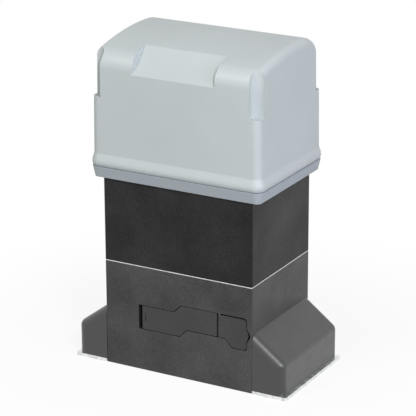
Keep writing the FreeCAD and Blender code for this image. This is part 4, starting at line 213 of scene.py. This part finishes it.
def powder_coat(name, colour, roughness, upper_painted_shade=1.0, specular=0.5):
    """Charcoal powder coat: a fine pebbled skin with darker and lighter grains.

    Above the parting of the housings, the tone and sheen carry painted shade: they are the lower casting's
    times a given factor.
    """
    surface = Surface(name, roughness=roughness, specular=specular)
    pebble = surface.noise(1500.0, detail=2.0, roughness=0.5)
    fleck = surface.noise(900.0, detail=3.0, roughness=0.7)
    cloud = surface.noise(22.0, detail=4.0)
    grain = surface.mix(surface.spread(fleck, 0.38, 0.62, 0.0, 1.0), shade(colour, 0.62), shade(colour, 1.42))
    tone = surface.mix(surface.spread(cloud, 0.35, 0.65, 0.0, 0.6), grain, shade(colour, 0.6))
    # Painted shade: the casting above the parting gets a darker colour by a given factor
    if upper_painted_shade != 1.0:
        height = surface.nodes.new("ShaderNodeSeparateXYZ")
        surface.link(surface.place, height.inputs[0])
        above = surface.spread(height.outputs["Z"], PARTING_Z - PARTING_BLUR, PARTING_Z + PARTING_BLUR,
                               0.0, 1.0)
        tone = surface.mix(above, tone, surface.scaled(tone, upper_painted_shade))
        # Painted shade in the reflections too: a lower specular level above the parting
        sheen_with_painted_shade = surface.spread(above, 0.0, 1.0, specular, specular * upper_painted_shade)
        wear = surface.spread(surface.noise(14.0, detail=5.0, roughness=0.6), 0.36, 0.64, 0.72, 1.28)
        speck = surface.spread(fleck, 0.40, 0.60, 0.84, 1.16)
        worn_and_shaded_sheen = calculate(surface.tree, "MULTIPLY", sheen_with_painted_shade, wear)
        surface.link(calculate(surface.tree, "MULTIPLY", worn_and_shaded_sheen, speck),
                     surface.shader.inputs["Specular IOR Level"])
    rough = surface.between(pebble, roughness - 0.07, roughness + 0.07)
    return surface.finish(tone, rough, surface.bump(pebble, 0.00008, base=surface.soft_edges(COATED_EDGE)))


def machined_steel(name, colour, roughness, tool=TURNED_LINES):
    """Turned, ground or cut metal with the fine lines of its tool."""
    surface = Surface(name, roughness=roughness, metallic=1.0)
    lines = surface.noise(1.0, detail=2.0, roughness=0.6, stretch=tool)
    tone = surface.tones(surface.noise(45.0, detail=4.0), colour, 0.86, 1.08)
    rough = surface.between(lines, roughness - 0.08, roughness + 0.1)
    return surface.finish(tone, rough, surface.bump(lines, 0.00001))


def zinc_coat(name, colour, roughness):
    """Galvanised sheet: crystals of slightly different brightness."""
    surface = Surface(name, roughness=roughness, metallic=1.0)
    crystals = surface.nodes.new("ShaderNodeTexVoronoi")
    crystals.inputs["Scale"].default_value = 260.0
    surface.link(surface.place, crystals.inputs["Vector"])
    split = surface.nodes.new("ShaderNodeSeparateColor")
    surface.link(crystals.outputs["Color"], split.inputs["Color"])
    spangle = split.outputs["Red"]
    tone = surface.mix(spangle, shade(colour, 0.84), shade(colour, 1.1))
    rough = surface.spread(spangle, 0.0, 1.0, roughness - 0.08, roughness + 0.08)
    return surface.finish(tone, rough, surface.bump(surface.noise(700.0), 0.00002))


def cast_metal(name, colour, roughness):
    """Bare casting with the skin that the mould leaves."""
    surface = Surface(name, roughness=roughness, metallic=1.0)
    skin = surface.noise(850.0, detail=4.0, roughness=0.6)
    tone = surface.tones(surface.noise(30.0), colour, 0.85, 1.05)
    rough = surface.between(skin, roughness - 0.06, roughness + 0.1)
    return surface.finish(tone, rough, surface.bump(skin, 0.00012))


def rubber(name, colour):
    """Dull rubber with a little dust on it."""
    surface = Surface(name, roughness=0.75, specular=0.3)
    skin = surface.noise(1200.0)
    dust = surface.noise(40.0, detail=4.0)
    tone = surface.mix(surface.spread(dust, 0.4, 0.8, 0.0, 0.6), shade(colour, 1.0), shade(colour, 1.9))
    return surface.finish(tone, surface.between(skin, 0.68, 0.85), surface.bump(skin, 0.00004))


def stacked_sheets(name, colour):
    """Edge of a level stack of thin sheets, or of layers of wound wire."""
    surface = Surface(name, roughness=0.45, metallic=1.0)
    wave = surface.nodes.new("ShaderNodeTexWave")
    wave.bands_direction = "Z"
    wave.inputs["Scale"].default_value = 320.0
    wave.inputs["Distortion"].default_value = 0.6
    surface.link(surface.place, wave.inputs["Vector"])
    bands = wave.outputs["Fac"]
    tone = surface.mix(bands, shade(colour, 0.6), shade(colour, 1.15))
    rough = surface.between(surface.noise(300.0), 0.35, 0.6)
    return surface.finish(tone, rough, surface.bump(bands, 0.00012))


def board_laminate(name, colour):
    """Green solder mask with tracks that show through as lighter lines."""
    surface = Surface(name, roughness=0.3)
    tracks = surface.nodes.new("ShaderNodeTexBrick")
    tracks.inputs["Scale"].default_value = 60.0
    tracks.inputs["Mortar Size"].default_value = 0.03
    tracks.inputs["Color1"].default_value = shade(colour, 1.0)
    tracks.inputs["Color2"].default_value = shade(colour, 0.9)
    tracks.inputs["Mortar"].default_value = shade(colour, 1.9)
    upright = surface.nodes.new("ShaderNodeMapping")
    upright.inputs["Rotation"].default_value = (math.radians(90), 0, 0)
    surface.link(surface.place, upright.inputs["Vector"])
    surface.link(upright.outputs["Vector"], tracks.inputs["Vector"])
    rough = surface.between(surface.noise(90.0), 0.24, 0.4)
    return surface.finish(tracks.outputs["Color"], rough, surface.bump(tracks.outputs["Fac"], 0.00003))


def make_materials():
    """The materials by the name of their slot, each with its colour and its roughness."""
    return dict((
        moulded_plastic("cover_plastic", (0.545, 0.590, 0.602), 0.46, depth=0.00001),
        moulded_plastic("tray_plastic", (0.42, 0.465, 0.510), 0.48, depth=0.00001),
        # Painted shade: the housing casting above the parting is darker and less glossy, by the factor 0.42
        powder_coat("housing_paint", (0.034, 0.034, 0.034), 0.42, upper_painted_shade=0.42, specular=0.55),
        powder_coat("lever_plastic", (0.034, 0.034, 0.035), 0.46),
        moulded_plastic("side_plastic", (0.010, 0.010, 0.010), 0.52, grain=1800.0, contrast=0.12,
                        specular=0.55, gloss=0.85),
        moulded_plastic("black_plastic", (0.018, 0.018, 0.020), 0.4, grain=1800.0, depth=0.00004, contrast=0.1),
        moulded_plastic("terminal_plastic", (0.03, 0.17, 0.07), 0.4, grain=1800.0, contrast=0.08),
        moulded_plastic("friction_lining", (0.11, 0.08, 0.06), 0.85, grain=900.0, depth=0.0001, contrast=0.2),
        zinc_coat("zinc_plate", (0.78, 0.79, 0.79), 0.34),
        zinc_coat("gasket_foil", (0.74, 0.74, 0.73), 0.3),
        machined_steel("zinc_steel", (0.66, 0.66, 0.63), 0.34),
        machined_steel("bright_steel", (0.58, 0.58, 0.59), 0.24),
        machined_steel("gear_steel", (0.42, 0.42, 0.43), 0.34, tool=CUT_LINES),
        machined_steel("bearing_steel", (0.62, 0.63, 0.64), 0.2),
        machined_steel("spring_steel", (0.30, 0.30, 0.31), 0.4),
        machined_steel("lock_chrome", (0.80, 0.80, 0.80), 0.14),
        machined_steel("bronze", (0.66, 0.43, 0.18), 0.3, tool=CUT_LINES),
        cast_metal("cast_alloy", (0.60, 0.61, 0.62), 0.45),
        machined_steel("capacitor_can", (0.75, 0.75, 0.76), 0.3),
        stacked_sheets("lamination", (0.36, 0.36, 0.38)),
        stacked_sheets("copper_wire", (0.62, 0.24, 0.09)),
        rubber("seal_rubber", (0.018, 0.021, 0.024)),
        board_laminate("circuit_board", (0.02, 0.13, 0.06)),
    ))


def dress_nodes(frame, materials):
    """Gives every CAD node the material of its slot in the record."""
    slots = {entry["node"]: entry["material_slot"] for entry in frame["record"]["subparts"]}
    for name, node in frame["nodes"].items():
        node.data.materials.clear()
        node.data.materials.append(materials[slots[name]])


# Ground and light

def floor_material():
    """White ground: lit by the lamps near the motor, where the shadow lies, and plain white farther out."""
    surface = Surface("floor", roughness=0.9, specular=0.2)
    seen = seen_share(surface.tree)
    cloud = surface.between(surface.noise(3.0), 0.0, 1.0)
    tone = surface.mix(cloud, FLOOR_COLOUR, shade(FLOOR_COLOUR, FLOOR_CLOUD))
    surface.link(surface.mix(seen, FLOOR_BOUNCE, tone), surface.shader.inputs["Base Color"])
    reach = surface.nodes.new("ShaderNodeVectorMath")
    reach.operation = "LENGTH"
    surface.link(surface.place, reach.inputs[0])
    ring = surface.spread(reach.outputs["Value"], FLOOR_CLEAR_R, FLOOR_WHITE_R, FLOOR_GLOW, 1.0, "SMOOTHSTEP")
    glow = surface.nodes.new("ShaderNodeEmission")
    glow.inputs["Strength"].default_value = 1.0
    blend = surface.nodes.new("ShaderNodeMixShader")
    surface.link(calculate(surface.tree, "MULTIPLY", ring, seen), blend.inputs["Fac"])
    surface.link(surface.shader.outputs["BSDF"], blend.inputs[1])
    surface.link(glow.outputs["Emission"], blend.inputs[2])
    surface.link(blend.outputs["Shader"], surface.nodes["Material Output"].inputs["Surface"])
    return surface.material


def make_floor():
    half = FLOOR_SIZE / 2
    corners = [(-half, -half, 0), (half, -half, 0), (half, half, 0), (-half, half, 0)]
    mesh = bpy.data.meshes.new("floor")
    mesh.from_pydata(corners, [], [(0, 1, 2, 3)])
    mesh.materials.append(floor_material())
    floor = bpy.data.objects.new("floor", mesh)
    bpy.context.scene.collection.objects.link(floor)


def area_light(name, place, aim, size, power, colour):
    """Soft box that looks from a place at an aim."""
    data = bpy.data.lights.new(name, "AREA")
    data.shape = "RECTANGLE"
    data.size, data.size_y = size
    data.energy = power
    data.color = colour
    lamp = bpy.data.objects.new(name, data)
    bpy.context.scene.collection.objects.link(lamp)
    direction = Vector(aim) - Vector(place)
    lamp.rotation_euler = direction.to_track_quat("-Z", "Y").to_euler()
    lamp.location = place


def make_lamps():
    area_light("key", place=(-1.1, -2.6, 2.6), aim=(0, 0, 0.2), size=(1.4, 1.0), power=48,
               colour=(0.985, 1.0, 0.905))
    area_light("side", place=(2.6, -0.8, 1.0), aim=(0, 0, 0.15), size=(0.9, 1.3), power=21,
               colour=(0.82, 0.86, 1.0))
    area_light("edge", place=(1.62, -1.62, 1.80), aim=(0.1, 0, 0.1), size=(0.6, 0.6), power=45,
               colour=(0.945, 0.96, 1.0))


def make_world():
    """Faint light from all round, where the camera and mirrors see plain white."""
    world = bpy.data.worlds.new("studio")
    world.use_nodes = True
    bpy.context.scene.world = world
    tree = world.node_tree
    light = tree.nodes["Background"]
    light.inputs["Color"].default_value = WORLD_COLOUR
    light.inputs["Strength"].default_value = WORLD_STRENGTH
    white = tree.nodes.new("ShaderNodeBackground")
    white.inputs["Color"].default_value = WHITE
    white.inputs["Strength"].default_value = 1.0
    blend = tree.nodes.new("ShaderNodeMixShader")
    tree.links.new(seen_share(tree), blend.inputs["Fac"])
    tree.links.new(light.outputs["Background"], blend.inputs[1])
    tree.links.new(white.outputs["Background"], blend.inputs[2])
    tree.links.new(blend.outputs["Shader"], tree.nodes["World Output"].inputs["Surface"])


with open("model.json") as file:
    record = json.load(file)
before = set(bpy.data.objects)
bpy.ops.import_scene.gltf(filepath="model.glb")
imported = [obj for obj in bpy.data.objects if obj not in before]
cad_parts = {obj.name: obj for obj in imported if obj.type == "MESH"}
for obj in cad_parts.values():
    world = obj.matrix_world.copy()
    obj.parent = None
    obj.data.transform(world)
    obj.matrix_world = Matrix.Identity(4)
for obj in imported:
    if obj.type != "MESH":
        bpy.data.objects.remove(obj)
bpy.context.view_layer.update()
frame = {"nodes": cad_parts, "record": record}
bpy.context.scene.view_settings.view_transform = "Standard"
make_camera()
make_floor()
make_lamps()
make_world()
dress_nodes(frame, make_materials())
